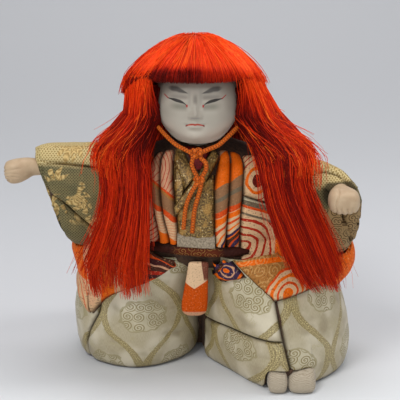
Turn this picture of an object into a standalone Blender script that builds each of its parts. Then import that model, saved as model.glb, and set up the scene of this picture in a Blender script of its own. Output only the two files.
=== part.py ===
# Kimekomi doll: a lion-dance figure standing on wide split trousers.
# The real object is a moulded paste core with thin slots carved along every seam.
# Cloth pieces are glued on and their edges are pushed into those slots.
# Head, hands, hair bundles, cord and the split-toe sock are pieces of their own.
# Lengths are written in millimetres and scaled to metres once, in to_metres().

import bpy
import bmesh
import math
import numpy as np
from mathutils import Vector
from mathutils.bvhtree import BVHTree

MM = 0.001
DOLL_WIDTH = 198.8       # fist to the far sleeve
DOLL_DEPTH = 130.6       # toes to the ends of the back hair
DOLL_HEIGHT = 188.3      # floor to the top of the hair
WIDE = DOLL_WIDTH / 198.8
DEEP = DOLL_DEPTH / 130.6
HIGH = DOLL_HEIGHT / 188.3
GROW = max(WIDE, DEEP, HIGH)
FRAME_Y = -40.0          # the base point lies on solid core, behind the cleft
SLOT_RADIUS = 1.8        # half width of the carved seam slots
CLOTH_GAP = 0.6          # glue line between core and cloth
CLOTH_THICK = 0.8        # cloth with its paper backing
EDGE_ROLL = 2.0          # width over which a cloth edge rolls into its slot
SEAM_HALF_GAP = 0.38     # bare line left between two neighbouring cloths
CLEARANCE = 0.28         # smallest distance between any two pieces
MOST_LIFT = 4.5          # a cloth never stands off further than this
CORD_DIAMETER = 2.4
HEAD_CLEAR = 0.8
NECK_RADIUS = 8.2
WRIST_R = 4.6
WRIST_L = 5.6
BIG_TOE_X = 41.2
BIG_TOE_HALF = 4.7
SMALL_TOE_X = 54.2
SMALL_TOE_HALF = 7.5

for old in list(bpy.data.objects):
    bpy.data.objects.remove(old, do_unlink=True)

scene = bpy.context.scene
guides = bpy.data.collections.new("guides")
scene.collection.children.link(guides)


# curves and skins

def to_metres(p):
    return (p[0] * MM * WIDE, (p[1] + FRAME_Y) * MM * DEEP, p[2] * MM * HIGH)


def closed_curve(points, count):
    p = np.asarray(points, float)
    k = len(p)
    t = np.arange(count) * k / count
    i = np.floor(t).astype(int)
    f = (t - i)[:, None]
    a = p[(i - 1) % k]
    b = p[i % k]
    c = p[(i + 1) % k]
    d = p[(i + 2) % k]
    return 0.5 * (2*b + (c - a)*f + (2*a - 5*b + 4*c - d)*f**2 + (3*b - a - 3*c + d)*f**3)


def open_curve_at(points, t):
    p = np.asarray(points, float)
    k = len(p)
    if k == 2:
        w = np.asarray(t).reshape(-1, *([1] * (p.ndim - 1)))
        return p[0] * (1 - w) + p[1] * w
    s = np.clip(np.asarray(t, float), 0, 1) * (k - 1)
    i = np.minimum(np.floor(s).astype(int), k - 2)
    f = (s - i).reshape(-1, *([1] * (p.ndim - 1)))
    first = 2*p[0] - p[1]
    last = 2*p[-1] - p[-2]
    q = np.concatenate([first[None], p, last[None]])
    a = q[i]
    b = q[i + 1]
    c = q[i + 2]
    d = q[i + 3]
    return 0.5 * (2*b + (c - a)*f + (2*a - 5*b + 4*c - d)*f**2 + (3*b - a - 3*c + d)*f**3)


def even_curve(points, count):
    dense = open_curve_at(points, np.linspace(0, 1, 120))
    step = np.linalg.norm(np.diff(dense, axis=0), axis=1)
    run = np.concatenate([[0], np.cumsum(step)])
    want = np.linspace(0, run[-1], count)
    return np.stack([np.interp(want, run, dense[:, k]) for k in range(dense.shape[1])], axis=1)


def polar_ring(cx, cy, z, radii):
    n = len(radii)
    turn = [2 * math.pi * k / n for k in range(n)]
    return [(cx + r*math.cos(t), cy + r*math.sin(t), z) for r, t in zip(radii, turn)]


def oval(center, a, b, power=2.0, n=12):
    out = []
    for k in range(n):
        t = 2 * math.pi * k / n
        c = math.cos(t)
        s = math.sin(t)
        u = math.copysign(abs(c) ** (2 / power), c)
        v = math.copysign(abs(s) ** (2 / power), s)
        out.append(np.array(center) + np.array(a) * u + np.array(b) * v)
    return out


def flat_oval(x, y, z, rx, ry, power=2.0):
    return oval((x, y, z), (rx, 0, 0), (0, ry, 0), power)


def x_oval(x, y, z, ry, rz, power=2.0):
    return oval((x, y, z), (0, 0, rz), (0, ry, 0), power)


def y_oval(x, y, z, rx, rz, power=2.0):
    return oval((x, y, z), (rx, 0, 0), (0, 0, rz), power)


def slab_ring(top, bottom, thick, power=2.6):
    top = np.array(top, float)
    bottom = np.array(bottom, float)
    return oval((top + bottom) / 2, (top - bottom) / 2, (0, thick, 0), power)


def skin(rings, around, along):
    r = np.array([closed_curve(ring, around) for ring in rings])
    return open_curve_at(r, np.linspace(0, 1, along))


def skin_faces(around, along):
    faces = []
    for j in range(along - 1):
        for i in range(around):
            n = (i + 1) % around
            faces.append((j*around + i, j*around + n, (j+1)*around + n, (j+1)*around + i))
    faces.append(tuple(reversed(range(around))))
    faces.append(tuple((along - 1)*around + i for i in range(around)))
    return faces


# materials and objects

def material(name, color, roughness, metallic=0.0):
    m = bpy.data.materials.new(name)
    m.use_nodes = True
    shader = m.node_tree.nodes["Principled BSDF"]
    shader.inputs["Base Color"].default_value = (*color, 1.0)
    shader.inputs["Roughness"].default_value = roughness
    shader.inputs["Metallic"].default_value = metallic
    m.diffuse_color = (*color, 1.0)
    return m


PASTE = material("moulded_paste", (0.35, 0.24, 0.15), 0.85)
GOFUN = material("shell_white", (0.72, 0.71, 0.68), 0.55)
SKIN = material("hand_white", (0.75, 0.62, 0.50), 0.6)
HAIR = material("red_hair", (0.62, 0.07, 0.02), 0.5)
HAKAMA = material("hakama_brocade", (0.60, 0.55, 0.42), 0.6)
HAORI = material("haori_brocade", (0.50, 0.20, 0.12), 0.65)
COLLAR = material("haori_collar_cloth", (0.62, 0.35, 0.26), 0.65)
SLEEVE = material("sleeve_brocade", (0.36, 0.31, 0.14), 0.5)
GOLD = material("gold_brocade", (0.45, 0.37, 0.18), 0.45)
RED_SILK = material("red_silk", (0.35, 0.04, 0.03), 0.5)
WHITE_SILK = material("white_silk", (0.62, 0.60, 0.55), 0.6)
BELT = material("belt_brocade", (0.28, 0.16, 0.07), 0.5)
CORD = material("cord_silk", (0.72, 0.26, 0.04), 0.6)
TABI = material("tabi_crepe", (0.62, 0.60, 0.55), 0.75)


def mesh_object(name, verts, faces, mat, guide=False):
    mesh = bpy.data.meshes.new(name)
    mesh.from_pydata([to_metres(p) for p in verts], [], faces)
    bm = bmesh.new()
    bm.from_mesh(mesh)
    bmesh.ops.recalc_face_normals(bm, faces=bm.faces)
    bm.to_mesh(mesh)
    bm.free()
    obj = bpy.data.objects.new(name, mesh)
    if guide:
        guides.objects.link(obj)
        obj.hide_render = True
        obj.display_type = "WIRE"
    else:
        scene.collection.objects.link(obj)
        mesh.polygons.foreach_set("use_smooth", [True] * len(mesh.polygons))
    if mat is not None:
        mesh.materials.append(mat)
    return obj


def skin_object(name, rings, around, along, mat, guide=False):
    grid = skin(rings, around, along).reshape(-1, 3)
    return mesh_object(name, grid, skin_faces(around, along), mat, guide)


def boolean(target, other, operation, own_crossings=False):
    mod = target.modifiers.new(operation.lower() + " " + other.name, "BOOLEAN")
    mod.operation = operation
    mod.solver = "EXACT"
    mod.use_self = own_crossings
    mod.object = other
    return mod


def tree_of(objects):
    verts = []
    faces = []
    graph = bpy.context.evaluated_depsgraph_get()
    for obj in objects:
        shape = obj.evaluated_get(graph).to_mesh()
        shape.calc_loop_triangles()
        start = len(verts)
        for v in shape.vertices:
            verts.append((v.co.x / MM / WIDE, v.co.y / MM / DEEP - FRAME_Y, v.co.z / MM / HIGH))
        faces += [tuple(start + i for i in t.vertices) for t in shape.loop_triangles]
        obj.evaluated_get(graph).to_mesh_clear()
    return BVHTree.FromPolygons(verts, faces)


def tree_of_rings(names, around=72, along=48):
    verts = []
    faces = []
    for name in names:
        start = len(verts)
        verts += [tuple(p) for p in skin(FORMS[name], around, along).reshape(-1, 3)]
        faces += [tuple(start + i for i in f) for f in skin_faces(around, along)]
    return BVHTree.FromPolygons(verts, faces)


# moulded forms

RIGHT_LEG = [
    polar_ring(-36, 24, -3, [32, 33, 33, 33, 32, 34, 35, 32]),
    polar_ring(-36, 24, 0, [32, 33, 33, 33, 32, 34, 35, 32]),
    polar_ring(-36, 24, 4, [34, 35, 35, 35, 34.5, 37, 38, 34]),
    polar_ring(-36, 24, 15, [35, 36, 37, 37, 36, 40, 41, 36]),
    polar_ring(-36, 24, 32, [35, 36, 37, 37, 36, 41, 42, 37]),
    polar_ring(-31, 22, 48, [34, 36, 37, 36, 36, 39, 40, 36]),
    polar_ring(-22, 20, 62, [33, 36, 37, 36, 34, 36, 39, 35]),
    polar_ring(-10, 17, 76, [30, 33, 34, 33, 31, 33, 37, 33]),
]
LEFT_LEG = [
    polar_ring(44, 14, -3, [39, 40, 44, 44, 41, 38, 56, 45]),
    polar_ring(44, 14, 0, [39, 40, 44, 44, 41, 38, 56, 45]),
    polar_ring(44, 14, 4, [41, 42, 46, 46, 43, 40, 59, 47]),
    polar_ring(44, 14, 15, [42, 43, 47, 47, 43, 41, 59, 48]),
    polar_ring(42, 13, 32, [41, 42, 47, 46, 42, 41, 56, 47]),
    polar_ring(38, 12, 50, [39, 41, 46, 43, 38, 38, 49, 43]),
    polar_ring(28, 13, 64, [40, 38, 41, 37, 32, 32, 42, 38]),
    polar_ring(14, 14, 76, [36, 33, 35, 31, 28, 28, 37, 35]),
]
SEAT = [
    flat_oval(2, 44, -3, 26, 22),
    flat_oval(2, 44, 0, 26, 22),
    flat_oval(2, 43, 6, 28, 24),
    flat_oval(2, 40, 20, 30, 27),
    flat_oval(2, 32, 40, 32, 29),
    flat_oval(2, 22, 56, 32, 29),
    flat_oval(2, 14, 68, 32, 30),
    flat_oval(2, 12, 78, 30, 28),
]
TORSO = [
    flat_oval(2, 9, 60, 33, 24, 2.2),
    flat_oval(2, 9, 66, 38, 31, 2.2),
    flat_oval(2, 9, 74, 40, 34, 2.3),
    flat_oval(2, 9, 88, 45, 36, 2.4),
    flat_oval(1, 9, 102, 47, 35, 2.4),
    flat_oval(0, 10, 114, 44, 30, 2.3),
    flat_oval(0, 11, 122, 34, 23, 2.1),
    flat_oval(0, 11, 128, 17, 14, 2.0),
]
RIGHT_SLEEVE = [
    slab_ring((-28, 4, 123), (-34, 6, 76), 20),
    slab_ring((-48, 3, 125.5), (-48, 5, 71), 18),
    slab_ring((-66, 2, 126), (-61, 4, 69), 15),
    slab_ring((-82, 1, 126), (-69.8, 3, 70.5), 13),
    slab_ring((-88, 1, 125), (-73.4, 3, 74), 11),
    slab_ring((-90.5, 1, 124), (-75.8, 3, 78), 9.5),
]
LEFT_SLEEVE = [
    slab_ring((26, 4, 120), (30, 2, 77), 21),
    slab_ring((48, 2, 119.5), (46, 0, 71), 21),
    slab_ring((64, -1, 117), (60, -2, 67), 20),
    slab_ring((77, -3, 112), (71, -4, 67), 18),
    slab_ring((85, -4, 104), (80, -4, 69), 14),
    slab_ring((88.5, -4, 97), (85.5, -4, 76), 7),
]
COAT_RIGHT = [
    flat_oval(-28, 14, 76, 35, 23),
    flat_oval(-30, 14, 66, 39.5, 27),
    flat_oval(-31, 14, 56, 36.5, 30),
    flat_oval(-32, 16, 44, 34, 31),
    flat_oval(-34, 20, 37, 29, 27),
]
COAT_LEFT = [
    flat_oval(46, 6, 76, 31, 22),
    flat_oval(48, 6, 69, 34.5, 26),
    flat_oval(49, 6, 62, 35.5, 29),
    flat_oval(48, 7, 55, 34.5, 31),
    flat_oval(45, 9, 47, 31, 32),
    flat_oval(43, 10, 41, 27, 29),
]
FORMS = {
    "right_leg": RIGHT_LEG, "left_leg": LEFT_LEG, "seat": SEAT, "torso": TORSO,
    "right_sleeve": RIGHT_SLEEVE, "left_sleeve": LEFT_SLEEVE,
    "coat_right": COAT_RIGHT, "coat_left": COAT_LEFT,
}
BODY = tree_of_rings(list(FORMS))
ONLY_RIGHT_LEG = tree_of_rings(["right_leg"])
ONLY_LEFT_LEG = tree_of_rings(["left_leg"])
ONLY_RIGHT_SLEEVE = tree_of_rings(["right_sleeve"])
ONLY_LEFT_SLEEVE = tree_of_rings(["left_sleeve"])
FAR = 260.0
RIGHT_AXIS = (-36.0, 24.0)
LEFT_AXIS = (44.0, 14.0)
BODY_AXIS = (5.0, 20.0)


def on_form(mode, s, t):
    # Where a pattern point (s, t) lands on the moulded forms, and its way out.
    turn = math.radians(s)
    if mode == "front":
        start = Vector((s, -FAR, t))
        way = Vector((0, 1, 0))
        shape = BODY
    elif mode == "back":
        start = Vector((s, FAR, t))
        way = Vector((0, -1, 0))
        shape = BODY
    elif mode == "around":
        way = Vector((-math.cos(turn), -math.sin(turn), 0))
        start = Vector((BODY_AXIS[0], BODY_AXIS[1], t)) - way * FAR
        shape = BODY
    elif mode == "right leg":
        way = Vector((-math.cos(turn), -math.sin(turn), 0))
        start = Vector((RIGHT_AXIS[0], RIGHT_AXIS[1], t)) - way * FAR
        shape = ONLY_RIGHT_LEG
    elif mode == "right side":
        way = Vector((-math.cos(turn), -math.sin(turn), 0))
        start = Vector((RIGHT_AXIS[0], RIGHT_AXIS[1], t)) - way * FAR
        shape = BODY
    elif mode == "left side":
        way = Vector((-math.cos(turn), -math.sin(turn), 0))
        start = Vector((LEFT_AXIS[0], LEFT_AXIS[1], t)) - way * FAR
        shape = BODY
    elif mode == "left leg":
        way = Vector((-math.cos(turn), -math.sin(turn), 0))
        start = Vector((LEFT_AXIS[0], LEFT_AXIS[1], t)) - way * FAR
        shape = ONLY_LEFT_LEG
    elif mode == "right rim":
        way = Vector((-math.cos(turn), 0, -math.sin(turn)))
        start = Vector((-60, t, 98)) - way * FAR
        shape = ONLY_RIGHT_SLEEVE
    else:
        way = Vector((-math.cos(turn), 0, -math.sin(turn)))
        start = Vector((60, t, 92)) - way * FAR
        shape = ONLY_LEFT_SLEEVE
    hit = shape.ray_cast(start, way)
    if hit[0] is None:
        near = shape.find_nearest(start + way * FAR * 0.75)
        return np.array(near[0]), -np.array(way)
    return np.array(hit[0]), -np.array(way)


# core

core = skin_object("body_core", TORSO, 26, 9, PASTE)
core_forms = []
for form_name, around, along in (
    ("right_leg", 24, 9), ("left_leg", 26, 9), ("seat", 20, 8),
    ("right_sleeve", 20, 8), ("left_sleeve", 20, 8), ("coat_right", 22, 6), ("coat_left", 22, 7),
):
    piece = skin_object("form_" + form_name, FORMS[form_name], around, along, None, guide=True)
    boolean(core, piece, "UNION")
    core_forms.append(piece)

# Seam lines: pattern points that both the slots and the cloth edges follow.
LEG_SIDE = [(243.6, 50), (241, 40), (239, 32), (228, 19), (221, 8), (220, 2)]
RIDGE_CUT = [(262, 56), (267, 40), (271, 27), (275, 14.5), (275.6, 12)]
CROSS = [(209, 25.5), (227, 26.5), (242, 27), (256, 27), (270.8, 27.5)]
COLLAR_R1 = [(-27.0, 117.5), (-27.5, 108), (-25.3, 97), (-22.9, 83), (-22.6, 75)]
COLLAR_R2 = [(-21.6, 119.5), (-21.7, 106), (-19.9, 92), (-17.2, 81), (-16.3, 75)]
COLLAR_R3 = [(-14.6, 120.5), (-14.7, 110), (-13.4, 98), (-12.0, 82), (-12.1, 75)]
COLLAR_L1 = [(10.2, 120.5), (7.9, 110), (7.9, 94), (8.0, 75)]
COLLAR_L2 = [(16.7, 119.5), (15.8, 102), (14.6, 88), (14.1, 74)]
COLLAR_L3 = [(23.9, 117), (23.1, 104.6), (22.1, 92.4), (21.8, 73)]
BODY_SPLIT = [(23.6, 103.6), (31, 99), (39.6, 95.8), (49, 92.5)]
TUBE_R = [(-86.5, 118.6), (-76, 118.2), (-62, 117), (-48, 115.5)]
BAG_R = [(-80.4, 101), (-73.4, 95.7), (-60.3, 82.7), (-50, 75)]
BAG_L = [(76.5, 96), (78.6, 87), (82.0, 80), (83.5, 74)]
SLOTS = [
    ("right leg", LEG_SIDE, 7), ("left leg", RIDGE_CUT, 6), ("left leg", CROSS, 7),
    ("front", COLLAR_R1, 6), ("front", COLLAR_R2, 6), ("front", COLLAR_R3, 6),
    ("front", COLLAR_L1, 6), ("front", COLLAR_L2, 6), ("front", COLLAR_L3, 6),
    ("front", BODY_SPLIT, 4), ("front", TUBE_R, 5), ("front", BAG_R, 5), ("front", BAG_L, 4),
]


def tube_curve(name, points, radius, sides_resolution, mat, guide=False):
    data = bpy.data.curves.new(name, "CURVE")
    data.dimensions = "3D"
    data.bevel_depth = radius * MM
    data.bevel_resolution = sides_resolution
    data.use_fill_caps = True
    line = data.splines.new("POLY")
    line.points.add(len(points) - 1)
    for k, p in enumerate(points):
        line.points[k].co = (*to_metres(p), 1.0)
    obj = bpy.data.objects.new(name, data)
    if guide:
        guides.objects.link(obj)
        obj.hide_render = True
        obj.display_type = "WIRE"
    else:
        scene.collection.objects.link(obj)
    if mat is not None:
        data.materials.append(mat)
    return obj


def slot_tube(points, radius, sides=6):
    # A closed tube along the seam line, used as a carving tool.
    verts = []
    faces = []
    pts = np.array(points)
    n = len(pts)
    side = None
    for k in range(n):
        ahead = pts[min(k + 1, n - 1)] - pts[max(k - 1, 0)]
        ahead = ahead / np.linalg.norm(ahead)
        if side is None:
            side = np.cross(ahead, (0.31, 0.9, 0.3))
        side = side - ahead * np.dot(side, ahead)
        side = side / np.linalg.norm(side)
        other = np.cross(ahead, side)
        for m in range(sides):
            t = 2 * math.pi * (m + 0.5) / sides
            verts.append(pts[k] + radius * (side * math.cos(t) + other * math.sin(t)))
    for k in range(n - 1):
        for m in range(sides):
            q = (m + 1) % sides
            faces.append((k*sides + m, k*sides + q, (k+1)*sides + q, (k+1)*sides + m))
    faces.append(tuple(reversed(range(sides))))
    faces.append(tuple((n - 1)*sides + m for m in range(sides)))
    return verts, faces


cut_verts = []
cut_faces = []
for mode, points, count in SLOTS:
    line = [on_form(mode, s, t)[0] for s, t in even_curve(points, count)]
    verts, faces = slot_tube(line, SLOT_RADIUS)
    start = len(cut_verts)
    cut_verts += verts
    cut_faces += [tuple(start + i for i in f) for f in faces]
slots = mesh_object("seam_slots", cut_verts, cut_faces, None, guide=True)
boolean(core, slots, "DIFFERENCE", own_crossings=True)

# Flat base, neck socket, wrist sockets and the pocket of the split-toe sock.
bpy.ops.mesh.primitive_cube_add(size=1)
base_tool = bpy.context.object
base_tool.name = "base_saw"
base_tool.scale = (2 * DOLL_WIDTH * MM, 2 * DOLL_WIDTH * MM, DOLL_HEIGHT * MM)
base_tool.location = (0, 0, -DOLL_HEIGHT * MM / 2)


def tool_rod(name, start, end, radius, sides=12):
    a = Vector(to_metres(start))
    b = Vector(to_metres(end))
    bpy.ops.mesh.primitive_cylinder_add(vertices=sides, radius=radius * MM * GROW, depth=(b - a).length)
    rod = bpy.context.object
    rod.name = name
    rod.location = (a + b) / 2
    rod.rotation_euler = (b - a).to_track_quat("Z", "Y").to_euler()
    return rod


def toe(x, half, more=0.0):
    return [
        flat_oval(x, -38.4, 0 - 6 * more, half - 0.4 + more, 9.6 + more, 2.6),
        flat_oval(x, -38.6, 2.5, half + more, 10.2 + more, 2.6),
        flat_oval(x, -38.2, 6.5, half - 0.1 + more, 9.9 + more, 2.5),
        flat_oval(x, -37.4, 10 + more, half - 1.0 + more, 8.4 + more, 2.3),
        flat_oval(x, -37, 11.6 + more, half * 0.45 + more, 4.2 + more),
    ]


TOES = (
    ("tabi_big_toe", "toe_pocket_big", BIG_TOE_X, BIG_TOE_HALF),
    ("tabi_toes", "toe_pocket_small", SMALL_TOE_X, SMALL_TOE_HALF),
)


neck_tool = tool_rod("neck_socket", (-1, 6.7, 112.5), (-1, 3.2, 136), NECK_RADIUS + HEAD_CLEAR)
wrist_r_tool = tool_rod("wrist_socket_right", (-80, -1, 114.6), (-96, -1, 114.6), WRIST_R + 0.7)
wrist_l_tool = tool_rod("wrist_socket_left", (76, -8, 103.4), (76, -34, 103.6), WRIST_L + 0.7)
for toe_name, name, x, half in TOES:
    pocket = skin_object(name, toe(x, half, 0.5), 12, 6, None, guide=True)
    boolean(core, pocket, "DIFFERENCE")
for tool in (neck_tool, wrist_r_tool, wrist_l_tool, base_tool):
    boolean(core, tool, "DIFFERENCE")
    for held in list(tool.users_collection):
        held.objects.unlink(tool)
    guides.objects.link(tool)
    tool.hide_render = True
    tool.display_type = "WIRE"

bpy.context.view_layer.update()
CORE_TREE = tree_of([core])


# cloth pieces

def steps(length, cell, roll_start, roll_end):
    # Parameters from 0 to 1 with one narrow row where an edge is rolled in.
    first = EDGE_ROLL / length if roll_start else 0.0
    last = 1 - EDGE_ROLL / length if roll_end else 1.0
    if last - first < 0.2:
        first = 0.33 if roll_start else 0.0
        last = 0.67 if roll_end else 1.0
    cells = max(1, int(round((last - first) * length / cell)))
    inner = list(np.linspace(first, last, cells + 1))
    out = ([0.0] if roll_start else []) + inner + ([1.0] if roll_end else [])
    return np.array(out)


def grid_ways(points, hints):
    nu, nv = points.shape[:2]
    ways = np.zeros_like(points)
    for i in range(nu):
        for j in range(nv):
            du = points[min(i + 1, nu - 1), j] - points[max(i - 1, 0), j]
            dv = points[i, min(j + 1, nv - 1)] - points[i, max(j - 1, 0)]
            n = np.cross(du, dv)
            size = np.linalg.norm(n)
            n = hints[i, j] if size < 1e-6 else n / size
            if np.dot(n, hints[i, j]) < 0:
                n = -n
            ways[i, j] = n
    return ways


def covered_by(tree, p, way, reach, last):
    # How far p must travel along way to come out of the shape it is buried in.
    spot = Vector(p)
    way = Vector(way)
    run = 0.0
    found = 0.0
    while run < reach:
        hit = tree.ray_cast(spot, way, reach - run)
        if hit[0] is None:
            break
        run += hit[3]
        if hit[1].dot(way) > 0:
            found = run
            if not last:
                break
        elif not last:
            break
        spot = hit[0] + way * 0.002
        run += 0.002
    return found


def seat_on(tree, inner, outer, ways, clearance, last=False):
    # Lifts the sheet wherever its lower skin would bite into what it lies on.
    nu, nv = inner.shape[:2]
    mixes = (((0, 0, 1.0),), ((0, 0, 0.5), (1, 0, 0.5)), ((0, 0, 0.5), (0, 1, 0.5)),
             ((0, 0, 0.25), (1, 0, 0.25), (0, 1, 0.25), (1, 1, 0.25)),
             ((0, 0, 0.7), (1, 1, 0.3)), ((0, 0, 0.3), (1, 1, 0.7)),
             ((1, 0, 0.7), (0, 1, 0.3)), ((1, 0, 0.3), (0, 1, 0.7)),
             ((0, 0, 0.25), (1, 0, 0.75)), ((0, 0, 0.75), (1, 0, 0.25)),
             ((0, 0, 0.25), (0, 1, 0.75)), ((0, 0, 0.75), (0, 1, 0.25)))
    total = np.zeros((nu, nv))
    for _ in range(7):
        lift = np.zeros((nu, nv))
        for i in range(nu):
            for j in range(nv):
                for mix in mixes:
                    if i + mix[-1][0] >= nu or j + mix[-1][1] >= nv or i + mix[0][0] >= nu:
                        continue
                    spot = sum(inner[i + a, j + b] * w for a, b, w in mix)
                    way = sum(ways[i + a, j + b] * w for a, b, w in mix)
                    way = way / max(1e-6, np.linalg.norm(way))
                    need = covered_by(tree, spot, way, 7.0, last)
                    if need > 0:
                        need += clearance
                    else:
                        near = tree.find_nearest(Vector(spot), clearance)
                        if near[0] is not None:
                            need = clearance - near[3] + 0.02
                    if need > 0:
                        for a, b, w in mix:
                            lift[i + a, j + b] = max(lift[i + a, j + b], min(need, 2.5))
        if lift.max() < 0.01:
            break
        lift = np.minimum(lift, MOST_LIFT - total)
        total += lift
        inner += ways * lift[..., None]
        outer += ways * lift[..., None]


def sheet_faces(nu, nv):
    # Triangles of a closed sheet: outer skin, inner skin and the rim between them.
    faces = []
    step = nu * nv
    for i in range(nu - 1):
        for j in range(nv - 1):
            a = i*nv + j
            b = a + nv
            faces += [(a, b, b + 1), (a, b + 1, a + 1)]
            faces += [(step + b + 1, step + b, step + a), (step + a + 1, step + b + 1, step + a)]
    ring = [(i, 0) for i in range(nu)] + [(nu - 1, j) for j in range(1, nv)]
    ring += [(i, nv - 1) for i in range(nu - 2, -1, -1)] + [(0, j) for j in range(nv - 2, 0, -1)]
    for k in range(len(ring)):
        p = ring[k][0]*nv + ring[k][1]
        q = ring[(k + 1) % len(ring)]
        q = q[0]*nv + q[1]
        faces += [(p, step + p, step + q), (p, step + q, q)]
    return faces


def lift_clear(tree, inner, outer, ways, faces):
    # Last small lifts, until no triangle of the sheet cuts what it lies on.
    nu, nv = inner.shape[:2]
    for _ in range(12):
        both = [tuple(p) for p in outer.reshape(-1, 3)] + [tuple(p) for p in inner.reshape(-1, 3)]
        crossing = BVHTree.FromPolygons(both, faces).overlap(tree)
        if not crossing:
            break
        touched = {k % (nu * nv) for f in crossing for k in faces[f[0]]}
        for k in touched:
            inner[k // nv, k % nv] += ways[k // nv, k % nv] * 0.15
            outer[k // nv, k % nv] += ways[k // nv, k % nv] * 0.15


PANELS = {}


def cloth(name, mat, mode, edge_a, edge_b, cell=9.0, rolled="abse", lift=CLOTH_GAP,
          thick=CLOTH_THICK, over=(), puff=0.0, waves=0, wave_depth=0.0):
    # A sheet ruled between two pattern edges, laid on the forms with rolled rims.
    # rolled names the rims pushed into slots: a and b edges, s and e the ends.
    a = even_curve(edge_a, 24)
    b = even_curve(edge_b, 24)
    near_a = np.array([on_form(mode, s, t)[0] for s, t in a[::6]])
    near_b = np.array([on_form(mode, s, t)[0] for s, t in b[::6]])
    across = float(np.mean(np.linalg.norm(near_a - near_b, axis=1)))
    along = float(np.mean([np.sum(np.linalg.norm(np.diff(q, axis=0), axis=1)) for q in (near_a, near_b)]))
    us = steps(across, cell, "a" in rolled, "b" in rolled)
    vs = steps(along, cell, "s" in rolled, "e" in rolled)
    gap_u = min(0.2, SEAM_HALF_GAP / across)
    gap_v = min(0.2, SEAM_HALF_GAP / along)
    line_a = open_curve_at(a, gap_v + (1 - 2*gap_v) * vs)
    line_b = open_curve_at(b, gap_v + (1 - 2*gap_v) * vs)
    nu, nv = len(us), len(vs)
    points = np.zeros((nu, nv, 3))
    hints = np.zeros((nu, nv, 3))
    for i, u in enumerate(us):
        w = gap_u + (1 - 2*gap_u) * u
        for j in range(nv):
            s, t = line_a[j] * (1 - w) + line_b[j] * w
            points[i, j], hints[i, j] = on_form(mode, s, t)
    ways = grid_ways(points, hints)
    high = np.full((nu, nv), lift + thick)
    low = np.full((nu, nv), lift)
    for i in range(nu):
        for j in range(nv):
            mid = math.sin(math.pi * us[i]) * math.sin(math.pi * vs[j])
            fold = wave_depth * math.sin(2 * math.pi * waves * us[i]) * mid if waves else 0.0
            high[i, j] += puff * mid + fold
            low[i, j] += puff * mid + fold
    rims = []
    if "a" in rolled:
        rims += [(0, j) for j in range(nv)]
    if "b" in rolled:
        rims += [(nu - 1, j) for j in range(nv)]
    if "s" in rolled:
        rims += [(i, 0) for i in range(nu)]
    if "e" in rolled:
        rims += [(i, nv - 1) for i in range(nu)]
    for c in rims:
        high[c] = 0.25
        low[c] = -0.35
    inner = points + ways * low[..., None]
    outer = points + ways * high[..., None]
    faces = sheet_faces(nu, nv)
    seat_on(CORE_TREE, inner, outer, ways, CLEARANCE)
    lift_clear(CORE_TREE, inner, outer, ways, faces)
    if over:
        below = tree_of([PANELS[o] for o in over])
        seat_on(below, inner, outer, ways, CLEARANCE, last=True)
        lift_clear(below, inner, outer, ways, faces)
    verts = list(outer.reshape(-1, 3)) + list(inner.reshape(-1, 3))
    obj = mesh_object(name, verts, faces, mat)
    bpy.context.view_layer.update()
    PANELS[name] = obj
    return obj


# Trousers. Each leg is covered by front, side and back pieces.
cloth("hakama_right_front", HAKAMA, "right leg", LEG_SIDE,
      [(318, 50), (322, 40), (330, 26), (336, 14), (338, 2)], rolled="ab")
cloth("hakama_right_side", HAKAMA, "right side",
      [(140, 57), (139, 40), (139, 20), (139, 2)], LEG_SIDE, rolled="b", lift=0.75, cell=9)
cloth("hakama_right_back", HAKAMA, "back",
      [(2, 57), (2, 40), (2, 20), (2, 2)],
      [(-55, 55), (-61.2, 42), (-61.8, 16), (-59.6, 2)], rolled="", cell=11, lift=1.0)
cloth("hakama_left_upper", HAKAMA, "left side",
      [(211, 52), (228, 59), (245, 60), (262, 56)], CROSS, rolled="be")
cloth("hakama_left_lower", HAKAMA, "left leg", CROSS,
      [(209, 2), (222, 2), (238, 2), (255, 3), (260.5, 13), (275, 14.5)], rolled="ae")
cloth("hakama_left_side", HAKAMA, "left side",
      [(262, 56), (290, 57), (330, 55), (360, 54), (408, 54)],
      [(275, 14.5), (291, 14), (297, 3), (325, 2), (355, 2), (407, 2)], rolled="s", lift=0.8)
cloth("hakama_left_back", HAKAMA, "back",
      [(2, 57), (2, 40), (2, 20), (2, 2)],
      [(58, 54), (69.5, 40), (71.5, 16), (68.6, 2)], rolled="", cell=11, lift=1.2)

# Kimono layers at the neck, from the innermost outwards.
cloth("inner_collar", RED_SILK, "front",
      [(-8.4, 126), (-5.2, 121), (-1.6, 117)], [(6.0, 125.4), (3.2, 121), (0.4, 117)], rolled="")
cloth("kimono_front_right", GOLD, "front",
      [(-13.9, 118), (-14.3, 111), (-13.3, 101)], [(-12.4, 117), (-9.0, 108.5), (-12.2, 100.5)],
      rolled="a", cell=7)
cloth("kimono_front_left", GOLD, "front",
      [(-12.9, 93.4), (-12.4, 88), (-12.0, 83)], [(7.6, 114.0), (7.9, 98), (7.9, 82)], rolled="ab")
cloth("kimono_collar_right", GOLD, "front",
      [(-13.4, 123), (-13.6, 118), (-8.4, 107.5)], [(-9.0, 125), (-6, 120.5), (-2.0, 115)],
      rolled="a", lift=1.2, cell=7, over=("kimono_front_right", "inner_collar"))
cloth("kimono_collar_left", GOLD, "front",
      [(6.6, 124), (-0.5, 115.8), (-13.2, 99.4)], [(10.0, 119.6), (0.4, 106.9), (-12.6, 94.0)],
      rolled="", lift=1.2, cell=7,
      over=("kimono_front_left", "kimono_front_right", "kimono_collar_right", "inner_collar"))
cloth("waist_sash", WHITE_SILK, "front",
      [(-11.6, 82.2), (-2, 81.5), (7.5, 81.0)], [(-11.6, 77), (-2, 76.2), (7.5, 76)], rolled="",
      lift=0.9, over=("kimono_front_left",))

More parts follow.
